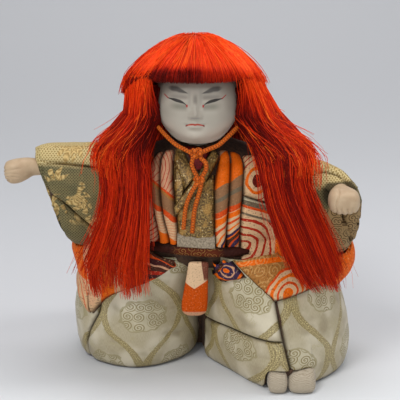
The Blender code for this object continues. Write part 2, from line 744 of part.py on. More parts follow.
# Coat: collar bands, body, back.
cloth("haori_collar_right_outer", COLLAR, "front", COLLAR_R1, COLLAR_R2, rolled="ab")
cloth("haori_collar_right_inner", COLLAR, "front", COLLAR_R2, COLLAR_R3, rolled="ab")
cloth("haori_collar_left_inner", COLLAR, "front", COLLAR_L1, COLLAR_L2, rolled="ab")
cloth("haori_collar_left_outer", COLLAR, "front", COLLAR_L2, COLLAR_L3, rolled="ab")
cloth("haori_body_right", HAORI, "front",
      [(-46, 119), (-46.5, 100), (-46, 75)], COLLAR_R1, rolled="b")
cloth("haori_body_left", HAORI, "front",
      [(23.9, 117), (23.4, 111), (23.6, 103.6)], [(46, 117), (48, 105), (49, 92.5)], rolled="ae")
cloth("haori_body_left_lower", HAORI, "front",
      [(23.6, 103.6), (22.1, 92.4), (21.8, 71)], [(49, 92.5), (49, 80), (48.5, 70)], rolled="as")
cloth("haori_back", HAORI, "back",
      [(45.5, 114), (45.5, 95), (42, 68.5)], [(-45.5, 118), (-45.5, 100), (-44, 69.5)], rolled="",
      cell=11, lift=0.9)
cloth("belt", BELT, "front",
      [(-26, 76.4), (-12, 75.4), (7.6, 74.4), (23, 73.4)],
      [(-26, 71.2), (-12, 69.6), (2.7, 68.2), (23, 68.6)], rolled="", lift=1.5, thick=1.4, cell=8,
      over=("haori_collar_right_outer", "haori_collar_right_inner", "haori_collar_left_inner",
            "haori_collar_left_outer", "haori_body_right", "haori_body_left_lower", "waist_sash"))

# Coat skirts lie over the trousers with a thick lower edge.
TROUSERS = ("hakama_right_front", "hakama_right_side", "hakama_right_back", "hakama_left_upper",
            "hakama_left_side", "hakama_left_back")
cloth("haori_skirt_right", HAORI, "around",
      [(245, 68.0), (235, 69.2), (222, 69.5), (208, 69), (198.5, 67.5)],
      [(243, 66), (236, 59.5), (228, 53.5), (212, 43.5), (204.8, 32.5)], rolled="",
      lift=2.2, thick=1.6, over=TROUSERS, cell=8)
cloth("haori_hem_right", HAORI, "around",
      [(197, 67.5), (185, 66.5), (165, 66), (150, 65)],
      [(202.6, 32.5), (198, 37), (191, 41), (175, 44), (150, 48)], rolled="",
      lift=2.0, thick=1.6, over=TROUSERS)
cloth("haori_skirt_back", HAORI, "around",
      [(145.5, 65), (120, 64), (90, 64), (60, 64), (37, 64)],
      [(145.5, 46), (120, 46), (90, 46), (60, 46), (37, 46)], rolled="",
      lift=3.5, thick=1.6, over=TROUSERS, cell=9)
cloth("haori_hem_left", HAORI, "around",
      [(334.5, 67.5), (345, 68), (360, 67.5), (395.5, 64)],
      [(327, 51.5), (338, 50.5), (350, 50), (365, 49), (395.5, 46)], rolled="",
      lift=1.9, thick=1.6, over=TROUSERS)
cloth("haori_skirt_left_inner", HAORI, "front",
      [(7.1, 66.6), (9.0, 59), (14.9, 54.5)], [(17.6, 67.2), (21.5, 64), (25.4, 60)], rolled="",
      lift=1.9, thick=1.4, over=TROUSERS, cell=8)
cloth("haori_skirt_left_outer", HAORI, "front",
      [(19.0, 67.4), (27.4, 59.6), (39.8, 48.8)], [(48, 66.5), (57, 60), (65, 52.4)], rolled="",
      lift=1.9, thick=1.6, over=TROUSERS, cell=8)

# Sleeves.
cloth("right_sleeve_top", SLEEVE, "front",
      [(-88, 123.2), (-70, 124.8), (-48, 124.0)], TUBE_R, rolled="b")
cloth("right_sleeve_front", SLEEVE, "front", TUBE_R, BAG_R, rolled="ab")
cloth("right_sleeve_lower", SLEEVE, "front", BAG_R,
      [(-78.6, 93), (-75.2, 81), (-68.6, 75), (-58, 73)], rolled="a")
cloth("right_sleeve_back", SLEEVE, "back",
      [(-47.5, 122), (-70, 122.6), (-87, 121)], [(-47.5, 73), (-61, 73), (-74, 80)], rolled="", cell=11, lift=0.8)
cloth("right_sleeve_edge", SLEEVE, "right rim",
      [(167, -5), (190, -5), (225, -6), (255, -7)], [(167, 8), (190, 8), (225, 9), (255, 10)],
      rolled="", cell=11)
cloth("left_sleeve_top", SLEEVE, "front",
      [(51, 117), (59, 116.2), (67, 114.6), (74, 112.9)],
      [(51, 112.4), (59, 112), (67, 111.6), (74, 111.1)], rolled="", cell=8)
cloth("left_sleeve_front", SLEEVE, "front",
      [(50.6, 111.0), (50.6, 90), (50, 73)], [(67.4, 110), (67.6, 98), (65.5, 70.5)], rolled="")
cloth("left_sleeve_lower", SLEEVE, "front",
      [(68.8, 97), (68.9, 88), (66.8, 71)], BAG_L, rolled="b")
cloth("left_sleeve_cuff", SLEEVE, "front", BAG_L,
      [(85.6, 96), (86.0, 90), (86.0, 84), (85, 78)], rolled="a", cell=7)
cloth("left_sleeve_back", SLEEVE, "back",
      [(47.5, 115), (64, 113), (79, 105.5)], [(47.5, 73), (61, 71), (79, 74)], rolled="", cell=11, lift=0.8)
cloth("left_sleeve_edge", SLEEVE, "left rim",
      [(-46, -10), (-25, -8), (5, -6), (36, -7)], [(-46, 5), (-25, 4), (5, 2.5), (36, 4)],
      rolled="", cell=10, lift=0.8)


# front tab and sock

TAB = [
    oval((-0.8, -27.4, 67.3), (4.9, 0, 0), (0, 1.3, 0.2), 2.6),
    oval((-0.9, -26.4, 65.7), (5.5, 0, 0), (0, 2.0, 0.4), 2.6),
    oval((-1.4, -23.2, 58.8), (5.9, 0, 0), (0, 2.3, 0.6), 2.6),
    oval((-2.2, -20.2, 49.4), (6.6, 0, 0), (0, 2.5, 0.6), 2.6),
    oval((-3.0, -17.7, 40), (7.2, 0, 0), (0, 2.6, 0.5), 2.6),
    oval((-3.2, -16.5, 35), (6.6, 0, 0), (0, 2.3, 0.4), 2.4),
    oval((-3.3, -16.1, 32.9), (4.4, 0, 0), (0, 1.4, 0.2), 2.2),
]
skin_object("front_tab", TAB, 14, 9, HAORI)
for name, pocket_name, x, half in TOES:
    skin_object(name, toe(x, half), 14, 7, TABI)


# head

FACE_X = -2.6
HEAD = [
    flat_oval(-1.2, -3.5, 131.2, 7, 8),
    flat_oval(-1.2, -4.5, 132.6, 13, 14.5),
    flat_oval(-1.2, -5.0, 137, 18.6, 19.6),
    flat_oval(-1.2, -4.8, 144, 21.6, 22.4),
    flat_oval(-1.2, -4.0, 153, 22.4, 23.2),
    flat_oval(-1.2, -3.5, 163, 21.2, 22.6),
    flat_oval(-1.2, -3.0, 171, 17, 19),
    flat_oval(-1.2, -2.4, 176.5, 9.5, 11),
    flat_oval(-1.2, -2.2, 178.2, 3, 3.5),
]


def bump(x, z, cx, cz, wx, wz, height):
    return height * math.exp(-((x - cx) / wx) ** 2 - ((z - cz) / wz) ** 2)


def face_relief(x, z):
    nose = bump(x, z, FACE_X, 148.6, 2.3, 2.2, 2.3) + bump(x, z, FACE_X, 152.5, 1.7, 4.6, 1.5)
    wings = bump(x, z, FACE_X - 2.9, 147.6, 1.5, 1.5, 0.9) + bump(x, z, FACE_X + 2.9, 147.6, 1.5, 1.5, 0.9)
    eyes = bump(x, z, FACE_X - 8.3, 156.0, 4.6, 2.6, -1.2) + bump(x, z, FACE_X + 8.3, 156.0, 4.6, 2.6, -1.2)
    brows = bump(x, z, FACE_X - 8.0, 161.4, 6.5, 2.2, 0.6) + bump(x, z, FACE_X + 8.0, 161.4, 6.5, 2.2, 0.6)
    lips = bump(x, z, FACE_X, 142.8, 4.6, 1.5, 0.8) + bump(x, z, FACE_X, 139.3, 5.0, 1.5, -0.6)
    cheeks = bump(x, z, FACE_X - 11.5, 147, 5.5, 6, 0.8) + bump(x, z, FACE_X + 11.5, 147, 5.5, 6, 0.8)
    chin = bump(x, z, FACE_X, 135.5, 6, 3.0, 0.9)
    return nose + wings + eyes + brows + lips + cheeks + chin


def front_dense(ring, count):
    # Samples a ring with more points on the face side, at angle 270 degrees.
    dense = closed_curve(ring, 360)
    s = np.linspace(-1, 1, count, endpoint=False)
    turn = 270 + 180 * (0.45 * s + 0.55 * s * np.abs(s))
    return dense[np.round(turn).astype(int) % 360]


head_grid = open_curve_at(np.array([front_dense(r, 30) for r in HEAD]), np.linspace(0, 1, 18))
for ring in head_grid:
    for p in ring:
        if p[1] < -8:
            p[1] -= face_relief(p[0], p[2])
head = mesh_object("head", head_grid.reshape(-1, 3), skin_faces(30, 18), GOFUN)
neck = skin_object("neck_form", [
    flat_oval(-1, 6.2, 116, NECK_RADIUS - 0.6, NECK_RADIUS - 0.6),
    flat_oval(-1, 6.0, 117.5, NECK_RADIUS, NECK_RADIUS),
    flat_oval(-1, 4.0, 130, NECK_RADIUS, NECK_RADIUS),
    flat_oval(-1, 2.5, 141, NECK_RADIUS, NECK_RADIUS),
], 14, 4, GOFUN, guide=True)
boolean(head, neck, "UNION")


# hair

def head_tool_rings(more):
    grow = []
    for r in HEAD:
        q = np.array(r)
        mid = q.mean(axis=0)
        out = q - mid
        size = np.linalg.norm(out, axis=1, keepdims=True)
        q = mid + out * (1 + more / np.maximum(size, 1))
        grow.append(q)
    grow[0][:, 2] -= more
    grow[-1][:, 2] += more
    return grow


def crown_ring(cx, cy, z, rx, ry, front_lift=0.0, locks=0.0):
    out = []
    for k in range(24):
        t = 2 * math.pi * k / 24
        front = max(0.0, -math.sin(t))
        lock = 1 + locks * (1 if k % 2 else -1)
        out.append((cx + rx*lock*math.cos(t), cy + ry*lock*math.sin(t), z + front_lift * front**1.5))
    return out


FALL_TOP = 160.65        # just under the brim of the crown piece
CROWN = [
    crown_ring(-3, 2, 163.5, 20, 20, 4.0),
    crown_ring(-3, 2, 162.0, 30, 30, 5.0),
    crown_ring(-3.5, 2, 160.8, 36, 35.0, 5.5, 0.010),
    crown_ring(-3.5, 2, 163, 37, 36.5, 5.0, 0.010),
    crown_ring(-3, 3, 170, 34.5, 35, 3.0, 0.008),
    crown_ring(-2.5, 3, 177, 29.5, 30, 1.5, 0.006),
    crown_ring(-2, 4, 183, 22, 22, 0.5, 0.004),
    crown_ring(-2, 4, 187, 11, 12),
    crown_ring(-2, 4, 188.3, 3, 3),
]


def lock_ring(x, y, z, rx, ry, yaw=0.0, depth=0.5):
    # A bundle section whose outline is broken into combed locks.
    out = []
    c = math.cos(math.radians(yaw))
    s = math.sin(math.radians(yaw))
    for k in range(12):
        t = 2 * math.pi * k / 12
        r = 1 + (depth if k % 2 else -depth) / max(rx, ry)
        p = rx * r * math.cos(t)
        q = ry * r * math.sin(t)
        out.append((x + p*c - q*s, y + p*s + q*c, z))
    return out


FALL_RIGHT = [
    lock_ring(-27, -1, FALL_TOP, 9, 17.5), lock_ring(-29, -1.6, 150, 9.5, 18.4),
    lock_ring(-34.2, -4, 140, 13.4, 17.4), lock_ring(-39.2, -11.5, 131, 17, 13.4),
    lock_ring(-40.6, -21.0, 123, 16.6, 7.2), lock_ring(-40.5, -26, 113, 15.5, 6),
    lock_ring(-41, -30.5, 100, 15, 5.5), lock_ring(-44, -31.5, 84, 16, 5),
    lock_ring(-47, -31.5, 68, 17, 4.5), lock_ring(-46, -31, 54, 15.5, 4), lock_ring(-44, -31, 45.5, 13, 3),
]
FALL_LEFT = [
    lock_ring(24.5, -1, FALL_TOP, 9.4, 17.5), lock_ring(29, -1.8, 150, 11.6, 18.4),
    lock_ring(35.2, -4.4, 140, 14.4, 17.2), lock_ring(42, -12, 131, 18, 13),
    lock_ring(46, -21.6, 123, 19, 7.2), lock_ring(46.5, -27.5, 113, 17.5, 5.8),
    lock_ring(49, -31, 100, 16, 5.4, 4), lock_ring(54.5, -34, 84, 16, 5, 10),
    lock_ring(61, -38.5, 68, 15.5, 4.5, 20), lock_ring(67, -39, 57, 12.5, 4, 24),
    lock_ring(71.5, -38, 50.5, 8.5, 3, 24),
]
FALL_BACK = [
    lock_ring(-3, 25.5, FALL_TOP, 30, 13), lock_ring(-2.5, 31, 146, 37, 13.2), lock_ring(-1, 42.4, 130, 42, 11),
    lock_ring(0, 54.6, 110, 45, 8), lock_ring(1, 59, 90, 46, 7), lock_ring(2, 66, 70, 47, 6),
    lock_ring(3, 73, 50, 46, 5.5), lock_ring(4, 77, 30, 44, 5), lock_ring(4, 78, 20, 41, 4),
]
head_tool = skin_object("head_room", head_tool_rings(1.6), 20, 12, None, guide=True)
for name, rings, around, along in (
    ("hair_crown", CROWN, 24, 11), ("hair_right_fall", FALL_RIGHT, 12, 12),
    ("hair_left_fall", FALL_LEFT, 12, 12), ("hair_back_fall", FALL_BACK, 12, 9),
):
    hair = skin_object(name, rings, around, along, HAIR)
    boolean(hair, head_tool, "DIFFERENCE")


# hands

RIGHT_HAND = [
    x_oval(-81, -1, 114.6, WRIST_R - 0.5, WRIST_R - 0.5), x_oval(-88, -1, 114.4, WRIST_R - 0.1, WRIST_R),
    x_oval(-92.5, -1.4, 113.6, 4.8, 5.0, 2.1), x_oval(-96, -2, 112.4, 5.8, 6.4, 2.4),
    x_oval(-100, -2.4, 111.2, 6.6, 7.2, 2.7), x_oval(-104.5, -2.4, 110.6, 6.5, 6.9, 2.8),
    x_oval(-107.2, -2.2, 110.8, 5.0, 5.4, 2.4), x_oval(-108.2, -2, 111, 2.6, 2.8),
]
LEFT_HAND = [
    y_oval(76, -9, 103.4, WRIST_L - 0.5, WRIST_L - 0.5), y_oval(76, -19, 103.5, WRIST_L - 0.1, WRIST_L - 0.1),
    y_oval(76, -25.5, 103.6, 7.3, 6.6, 2.3), y_oval(76.2, -31, 103.7, 8.3, 7.2, 2.6),
    y_oval(76.2, -36.5, 103.7, 7.8, 6.8, 2.6), y_oval(76, -39.6, 103.7, 5.6, 5.0, 2.3),
    y_oval(76, -40.6, 103.7, 2.6, 2.4),
]
skin_object("right_hand", RIGHT_HAND, 14, 10, SKIN)
skin_object("left_hand", LEFT_HAND, 14, 9, SKIN)


# braided cord

def cord(name, points, count):
    line = open_curve_at(points, np.linspace(0, 1, count))
    return tube_curve(name, [tuple(p) for p in line], CORD_DIAMETER / 2, 2, CORD)


UPPER_KNOT = (-2.0, -28.0, 128.6)
LOWER_KNOT = (-0.4, -29.0, 113.4)
cord("chin_cord_right", [(-22.4, -15.2, 139.6), (-18.6, -20.5, 135.8), (-13.6, -24.6, 132.0),
                         (-7.6, -27.2, 129.6), (-5.2, -27.8, 129.0)], 6)
cord("chin_cord_left", [(20.0, -15.2, 139.4), (16.4, -20.0, 136.2), (10.6, -24.8, 132.0),
                        (4.2, -27.2, 129.6), (1.4, -27.8, 129.0)], 6)
cord("cord_loop_right", [(-3.6, -28.4, 125.4), (-4.3, -28.8, 122.6), (-3.4, -29.0, 119.2), (-1.9, -29.0, 116.4)], 5)
cord("cord_loop_left", [(-0.4, -28.4, 125.4), (2.9, -28.8, 123.6), (3.2, -29.0, 119.4), (1.2, -29.0, 116.4)], 5)
cord("cord_tail_right", [(-2.6, -29.8, 110.6), (-5.4, -30.7, 105.6), (-7.6, -30.9, 99.0), (-8.9, -30.4, 87.0)], 6)
cord("cord_tail_left", [(0.4, -29.8, 110.2), (-1.0, -30.5, 105.0), (-3.0, -30.6, 97.0), (-4.2, -30.4, 84.8)], 6)
for name, spot, size in (
    ("cord_knot_upper", UPPER_KNOT, (2.9, 2.2, 2.7)), ("cord_knot_lower", LOWER_KNOT, (2.7, 2.1, 2.5)),
):
    bpy.ops.mesh.primitive_uv_sphere_add(segments=10, ring_count=6, radius=MM)
    knot = bpy.context.object
    knot.name = name
    knot.scale = (size[0] * WIDE, size[1] * DEEP, size[2] * HIGH)
    knot.location = to_metres(spot)
    knot.data.materials.append(CORD)
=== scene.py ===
# Looks of the kimekomi doll: tucked brocade panels, combed hair, painted face.
# The moulded forms and panel outlines are those of part.py, at a finer pitch.
import bpy
import math
import numpy as np
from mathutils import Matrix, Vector
from mathutils.bvhtree import BVHTree


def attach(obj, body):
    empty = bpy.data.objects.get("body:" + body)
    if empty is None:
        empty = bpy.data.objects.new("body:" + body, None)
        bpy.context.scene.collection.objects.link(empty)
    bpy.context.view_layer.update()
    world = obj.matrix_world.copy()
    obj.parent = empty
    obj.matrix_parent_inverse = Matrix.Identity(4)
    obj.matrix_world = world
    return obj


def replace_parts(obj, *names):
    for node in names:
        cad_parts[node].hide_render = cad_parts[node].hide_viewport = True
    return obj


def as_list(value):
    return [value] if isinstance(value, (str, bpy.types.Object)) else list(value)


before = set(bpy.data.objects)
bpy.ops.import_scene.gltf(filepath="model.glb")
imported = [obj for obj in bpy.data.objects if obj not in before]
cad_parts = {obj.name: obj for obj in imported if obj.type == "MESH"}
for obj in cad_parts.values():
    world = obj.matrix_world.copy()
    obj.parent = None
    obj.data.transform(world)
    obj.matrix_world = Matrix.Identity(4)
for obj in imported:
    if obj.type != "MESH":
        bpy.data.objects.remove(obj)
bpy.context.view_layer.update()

MM = 0.001
FRAME_Y = -40.0
ROOT = "root"
TINY = 1e-9
UV_SCALE = 0.01
scene = bpy.context.scene


def to_m(p):
    return (p[0] * MM, (p[1] + FRAME_Y) * MM, p[2] * MM)


# camera

camera_data = bpy.data.cameras.new("camera")
camera = bpy.data.objects.new("camera", camera_data)
scene.collection.objects.link(camera)
camera.location = (0.0, -0.6196, 0.2503)
camera.rotation_euler = (Vector((0.0, -0.040, 0.095)) - camera.location).to_track_quat("-Z", "Y").to_euler()
camera_data.sensor_width = 36.0
camera_data.lens = 96.43
scene.camera = camera


# curves and meshes

def closed_curve(points, count):
    p = np.asarray(points, float)
    k = len(p)
    t = np.arange(count) * k / count
    i = np.floor(t).astype(int)
    f = (t - i)[:, None]
    a, b, c, d = p[(i - 1) % k], p[i % k], p[(i + 1) % k], p[(i + 2) % k]
    return 0.5 * (2*b + (c - a)*f + (2*a - 5*b + 4*c - d)*f**2 + (3*b - a - 3*c + d)*f**3)


def curve_at(points, t):
    p = np.asarray(points, float)
    k = len(p)
    if k == 2:
        w = np.asarray(t).reshape(-1, *([1] * (p.ndim - 1)))
        return p[0] * (1 - w) + p[1] * w
    s = np.clip(np.asarray(t, float), 0, 1) * (k - 1)
    i = np.minimum(np.floor(s).astype(int), k - 2)
    f = (s - i).reshape(-1, *([1] * (p.ndim - 1)))
    q = np.concatenate([(2*p[0] - p[1])[None], p, (2*p[-1] - p[-2])[None]])
    a, b, c, d = q[i], q[i + 1], q[i + 2], q[i + 3]
    return 0.5 * (2*b + (c - a)*f + (2*a - 5*b + 4*c - d)*f**2 + (3*b - a - 3*c + d)*f**3)


def run_along(line):
    return np.concatenate([[0], np.cumsum(np.linalg.norm(np.diff(line, axis=0), axis=1))])


def unit(v):
    return v / np.maximum(np.linalg.norm(v, axis=-1, keepdims=True), TINY)


def even_curve(points, count):
    dense = curve_at(points, np.linspace(0, 1, 160))
    run = run_along(dense)
    want = np.linspace(0, run[-1], count)
    return np.stack([np.interp(want, run, dense[:, k]) for k in range(dense.shape[1])], axis=1)


def polar_ring(cx, cy, z, radii):
    turn = [2 * math.pi * k / len(radii) for k in range(len(radii))]
    return [(cx + r*math.cos(t), cy + r*math.sin(t), z) for r, t in zip(radii, turn)]


def oval(center, a, b, power=2.0, n=12):
    out = []
    for k in range(n):
        t = 2 * math.pi * k / n
        c, s = math.cos(t), math.sin(t)
        u = math.copysign(abs(c) ** (2 / power), c)
        v = math.copysign(abs(s) ** (2 / power), s)
        out.append(np.array(center) + np.array(a) * u + np.array(b) * v)
    return out


def flat_oval(x, y, z, rx, ry, power=2.0):
    return oval((x, y, z), (rx, 0, 0), (0, ry, 0), power)


def slab_ring(top, bottom, thick, power=2.6):
    top, bottom = np.array(top, float), np.array(bottom, float)
    return oval((top + bottom) / 2, (top - bottom) / 2, (0, thick, 0), power)


def skin(rings, around, along):
    r = np.array([closed_curve(ring, around) for ring in rings])
    return curve_at(r, np.linspace(0, 1, along))


def skin_faces(around, along):
    faces = []
    for j in range(along - 1):
        for i in range(around):
            n = (i + 1) % around
            faces.append((j*around + i, j*around + n, (j+1)*around + n, (j+1)*around + i))
    faces.append(tuple(reversed(range(around))))
    faces.append(tuple((along - 1)*around + i for i in range(around)))
    return faces


def make(name, verts, faces, mat, uv=None):
    # A mesh piece from points in authoring millimetres.
    v = np.asarray(verts, float).reshape(-1, 3)
    world = np.stack([v[:, 0], v[:, 1] + FRAME_Y, v[:, 2]], axis=1) * MM
    mesh = bpy.data.meshes.new(name)
    mesh.from_pydata(world.tolist(), [], faces)
    mesh.polygons.foreach_set("use_smooth", [True] * len(mesh.polygons))
    if uv is not None:
        layer = mesh.uv_layers.new(name="cloth")
        loops = np.zeros(len(mesh.loops), int)
        mesh.loops.foreach_get("vertex_index", loops)
        layer.data.foreach_set("uv", np.asarray(uv, float)[loops].ravel() * UV_SCALE)
    mesh.update()
    obj = bpy.data.objects.new(name, mesh)
    scene.collection.objects.link(obj)
    mesh.materials.append(mat)
    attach(obj, ROOT)
    return obj


def make_skin(name, rings, around, along, mat):
    return make(name, skin(rings, around, along), skin_faces(around, along), mat)


def tube_mesh(paths, radii, sides=3):
    # Closed thin tubes: paths (n, k, 3), radii (n, k); returns points and faces.
    n, k = paths.shape[:2]
    ahead = unit(np.gradient(paths, axis=1))
    side = unit(np.cross(ahead, np.array([0.31, 0.9, 0.3])))
    other = np.cross(ahead, side)
    turn = np.arange(sides) * 2 * math.pi / sides
    ring = (side[:, :, None] * np.cos(turn)[None, None, :, None]
            + other[:, :, None] * np.sin(turn)[None, None, :, None])
    pts = paths[:, :, None] + ring * radii[:, :, None, None]
    base = (np.arange(n) * k * sides)[:, None, None]
    row = (np.arange(k - 1) * sides)[None, :, None]
    m = np.arange(sides)[None, None, :]
    q = (m + 1) % sides
    quad = np.stack([base + row + m, base + row + sides + m, base + row + sides + q, base + row + q], axis=-1)
    first = base[:, 0, 0]
    last = first + (k - 1) * sides
    caps = [tuple(f + i for i in range(sides)) for f in first]
    caps += [tuple(f + i for i in reversed(range(sides))) for f in last]
    return pts.reshape(-1, 3), quad.reshape(-1, 4).tolist() + caps


# node maths

def srgb(*levels):
    # The linear values of a colour whose levels run from 0 to 255.
    shares = [level / 255.0 for level in levels]
    return tuple(c / 12.92 if c <= 0.04045 else ((c + 0.055) / 1.055) ** 2.4 for c in shares)


def feed(tree, value, inlet):
    # Links an expression or a socket to an inlet, or sets the inlet to a number or colour.
    if isinstance(value, (int, float)):
        inlet.default_value = float(value)
    elif isinstance(value, tuple):
        inlet.default_value = (*value, 1.0)
    else:
        tree.links.new(value.socket if isinstance(value, Ex) else value, inlet)


class Ex:
    # A value in a material's node tree that ordinary arithmetic can be done with.
    def __init__(self, tree, socket):
        self.tree = tree
        self.socket = socket

    def op(self, kind, *others):
        node = self.tree.nodes.new("ShaderNodeMath")
        node.operation = kind
        for inlet, value in zip(node.inputs, (self,) + others):
            feed(self.tree, value, inlet)
        return Ex(self.tree, node.outputs[0])

    def __rsub__(self, o):
        return (self * -1.0) + o

    def step(self, a, b):
        # Smooth rise from 0 at a to 1 at b (b may lie below a).
        node = self.tree.nodes.new("ShaderNodeMapRange")
        node.interpolation_type = "SMOOTHSTEP"
        ends = (a, b, 0.0, 1.0) if b > a else (b, a, 1.0, 0.0)
        for key, value in zip(("Value", "From Min", "From Max", "To Min", "To Max"), (self,) + ends):
            feed(self.tree, value, node.inputs[key])
        return Ex(self.tree, node.outputs[0])

    def line(self, centre, half, soft):
        # 1 on a line of that half width about centre, 0 away from it.
        return (self - centre).abs().step(half + soft, half)

    def near(self, centre, half, out, full):
        # 0 at out half widths from centre and further, 1 at full ones and nearer.
        return ((self - centre).abs() / half).step(out, full)

    def ridge(self):
        # Once in every whole step, from a half down to 0 and up again.
        return (self.frac() - 0.5).abs()


for method, operation in (
    ("__add__", "ADD"), ("__radd__", "ADD"), ("__sub__", "SUBTRACT"), ("__mul__", "MULTIPLY"),
    ("__rmul__", "MULTIPLY"), ("__truediv__", "DIVIDE"), ("power", "POWER"), ("low", "MINIMUM"), ("high", "MAXIMUM"), ("sin", "SINE"),
    ("abs", "ABSOLUTE"), ("frac", "FRACT"), ("floor", "FLOOR"),
):
    setattr(Ex, method, lambda self, *others, operation=operation: self.op(operation, *others))


class Mat:
    # A Principled material whose colour and bump come from expressions.
    def __init__(self, name, roughness=0.6, metallic=0.0, sheen=0.0, specular=0.5):
        self.mat = bpy.data.materials.new(name)
        self.mat.use_nodes = True
        self.tree = self.mat.node_tree
        self.shader = self.tree.nodes["Principled BSDF"]
        values = {"Roughness": roughness, "Metallic": metallic, "Specular IOR Level": specular}
        if sheen:
            values.update({"Sheen Weight": sheen, "Sheen Roughness": 0.4})
        for key, value in values.items():
            self.shader.inputs[key].default_value = value
        self.spot = self.new("TexCoord").outputs["Object"]
        x, y, z = self.split(self.spot)
        self.x, self.y, self.z = x * 1000.0, y * 1000.0 + (-FRAME_Y), z * 1000.0
        self.flat = None

    def new(self, kind):
        return self.tree.nodes.new("ShaderNode" + kind)

    def split(self, socket):
        node = self.new("SeparateXYZ")
        feed(self.tree, socket, node.inputs[0])
        return [Ex(self.tree, outlet) for outlet in node.outputs]

    def uv(self):
        # Pattern coordinates of the cloth in millimetres.
        if self.flat is None:
            node = self.new("UVMap")
            node.uv_map = "cloth"
            u, v, _ = self.split(node.outputs[0])
            self.flat = (u * (1 / UV_SCALE), v * (1 / UV_SCALE))
        return self.flat

    def join(self, a, b, c=0.0):
        node = self.new("CombineXYZ")
        for inlet, value in zip(node.inputs, (a, b, c)):
            feed(self.tree, value, inlet)
        return node.outputs[0]

    def noise(self, size, detail=2.0, vector=None):
        # Noise whose features are about size millimetres wide, from 0 to 1.
        node = self.new("TexNoise")
        node.inputs["Detail"].default_value = detail
        node.inputs["Scale"].default_value = (1000.0 if vector is None else 1.0) / size
        feed(self.tree, self.spot if vector is None else vector, node.inputs["Vector"])
        return Ex(self.tree, node.outputs[0])

    def grain(self, size, detail=1.0):
        # The same over the plane of the cloth.
        return self.noise(size, detail, self.join(*self.uv()))

    def wobble(self, size, reach):
        return (self.grain(size) - 0.5) * reach

    def cells(self, size, u, v, random=1.0):
        node = self.new("TexVoronoi")
        node.voronoi_dimensions = "2D"
        node.inputs["Scale"].default_value = 1.0 / size
        node.inputs["Randomness"].default_value = random
        feed(self.tree, self.join(u, v), node.inputs["Vector"])
        return node

    def about_cells(self, size, u, v, random=1.0):
        # Distance from the nearest cell point, and the angle about it.
        x, y, _ = self.split(self.cells(size, u, v, random).outputs["Position"])
        du, dv = x - u, y - v
        return (du * du + dv * dv).power(0.5), dv.op("ARCTAN2", du)

    def dist(self, u, v, cu, cv, stretch=1.0):
        du = (u - cu) * stretch
        dv = v - cv
        return (du * du + dv * dv).power(0.5)

    def mix(self, f, a, b):
        node = self.new("Mix")
        node.data_type = "RGBA"
        for key, value in ((0, f), (6, a), (7, b)):
            feed(self.tree, value, node.inputs[key])
        return node.outputs[2]

    def ramp(self, f, stops, kind="LINEAR"):
        node = self.new("ValToRGB")
        node.color_ramp.interpolation = kind
        stones = node.color_ramp.elements
        stones.remove(stones[-1])
        for k, (place, color) in enumerate(stops):
            stone = stones[0] if k == 0 else stones.new(place)
            stone.position = place
            stone.color = (*color, 1.0)
        feed(self.tree, f, node.inputs[0])
        return node.outputs[0]

    def bands(self, f, span, stops):
        # Plain bands of colour, each from its place on, with f and the places in millimetres.
        return self.ramp(f / span, [(min(1.0, place / span), color) for place, color in stops], "CONSTANT")

    def color(self, value):
        feed(self.tree, value, self.shader.inputs["Base Color"])

    def bump(self, height, depth):
        # depth in millimetres of relief for a height change of 1.
        node = self.new("Bump")
        node.inputs["Distance"].default_value = depth * MM
        feed(self.tree, height, node.inputs["Height"])
        feed(self.tree, node.outputs[0], self.shader.inputs["Normal"])


ORANGE = srgb(224, 98, 4)
DEEP_ORANGE = srgb(204, 70, 14)
RED = srgb(168, 36, 14)
DARK_RED = srgb(96, 20, 14)
CREAM = srgb(208, 169, 128)
PINK = srgb(200, 147, 114)
PALE = srgb(196, 184, 154)
TAUPE = srgb(138, 98, 66)
GREY = srgb(108, 94, 74)
NAVY = srgb(52, 36, 66)
MAROON = srgb(66, 26, 26)
BROWN = srgb(72, 36, 22)
GOLD_BROWN = srgb(158, 104, 48)


WEAVE_SWING = 0.5


def weave(u, v, pitch):
    # Crossing threads of a brocade, as a height about a half.
    warp = (u * (2 * math.pi / pitch)).sin()
    weft = (v * (2 * math.pi / pitch)).sin()
    return warp * weft * WEAVE_SWING * 0.5 + 0.5


def speckled(m, color, u, v, amount):
    # Broken thread colour: fine dark flecks, and pale flecks that are painted glints, over a base colour.
    grain = m.noise(0.9, 1.0, m.join(u, v))
    out = m.mix(grain.step(0.42, 0.30) * amount * 2.6, color, srgb(60, 34, 22))
    return m.mix(grain.step(0.60, 0.74) * amount * 1.4, out, srgb(246, 206, 150))


# cloth materials

def finish_cloth(m, color, pitch, depth, relief=None, relief_depth=0.0):
    # Paints shade on the tucked rim of a cloth, darkest where it turns into the groove, and gives it the relief of
    # its weave.
    rim = m.new("Attribute")
    rim.attribute_name = "rim"
    m.color(m.mix(Ex(m.tree, rim.outputs["Fac"]) * 0.85, color, srgb(30, 17, 10)))
    height = weave(*m.uv(), pitch) + m.grain(2.2, 2.0) * 0.9
    if relief is not None:
        height = height + relief * (relief_depth / depth)
    m.bump(height, depth)
    return m.mat


def curls(m, u, v, size, turns=1.6, width=0.30):
    # Scroll lines: one spiral in every cell.
    far, angle = m.about_cells(size, u, v, 0.7)
    r = far / size
    wind = r * (turns * 2.6) + angle / (2 * math.pi)
    return wind.ridge().step(width, width * 0.45) * r.step(0.62, 0.52)


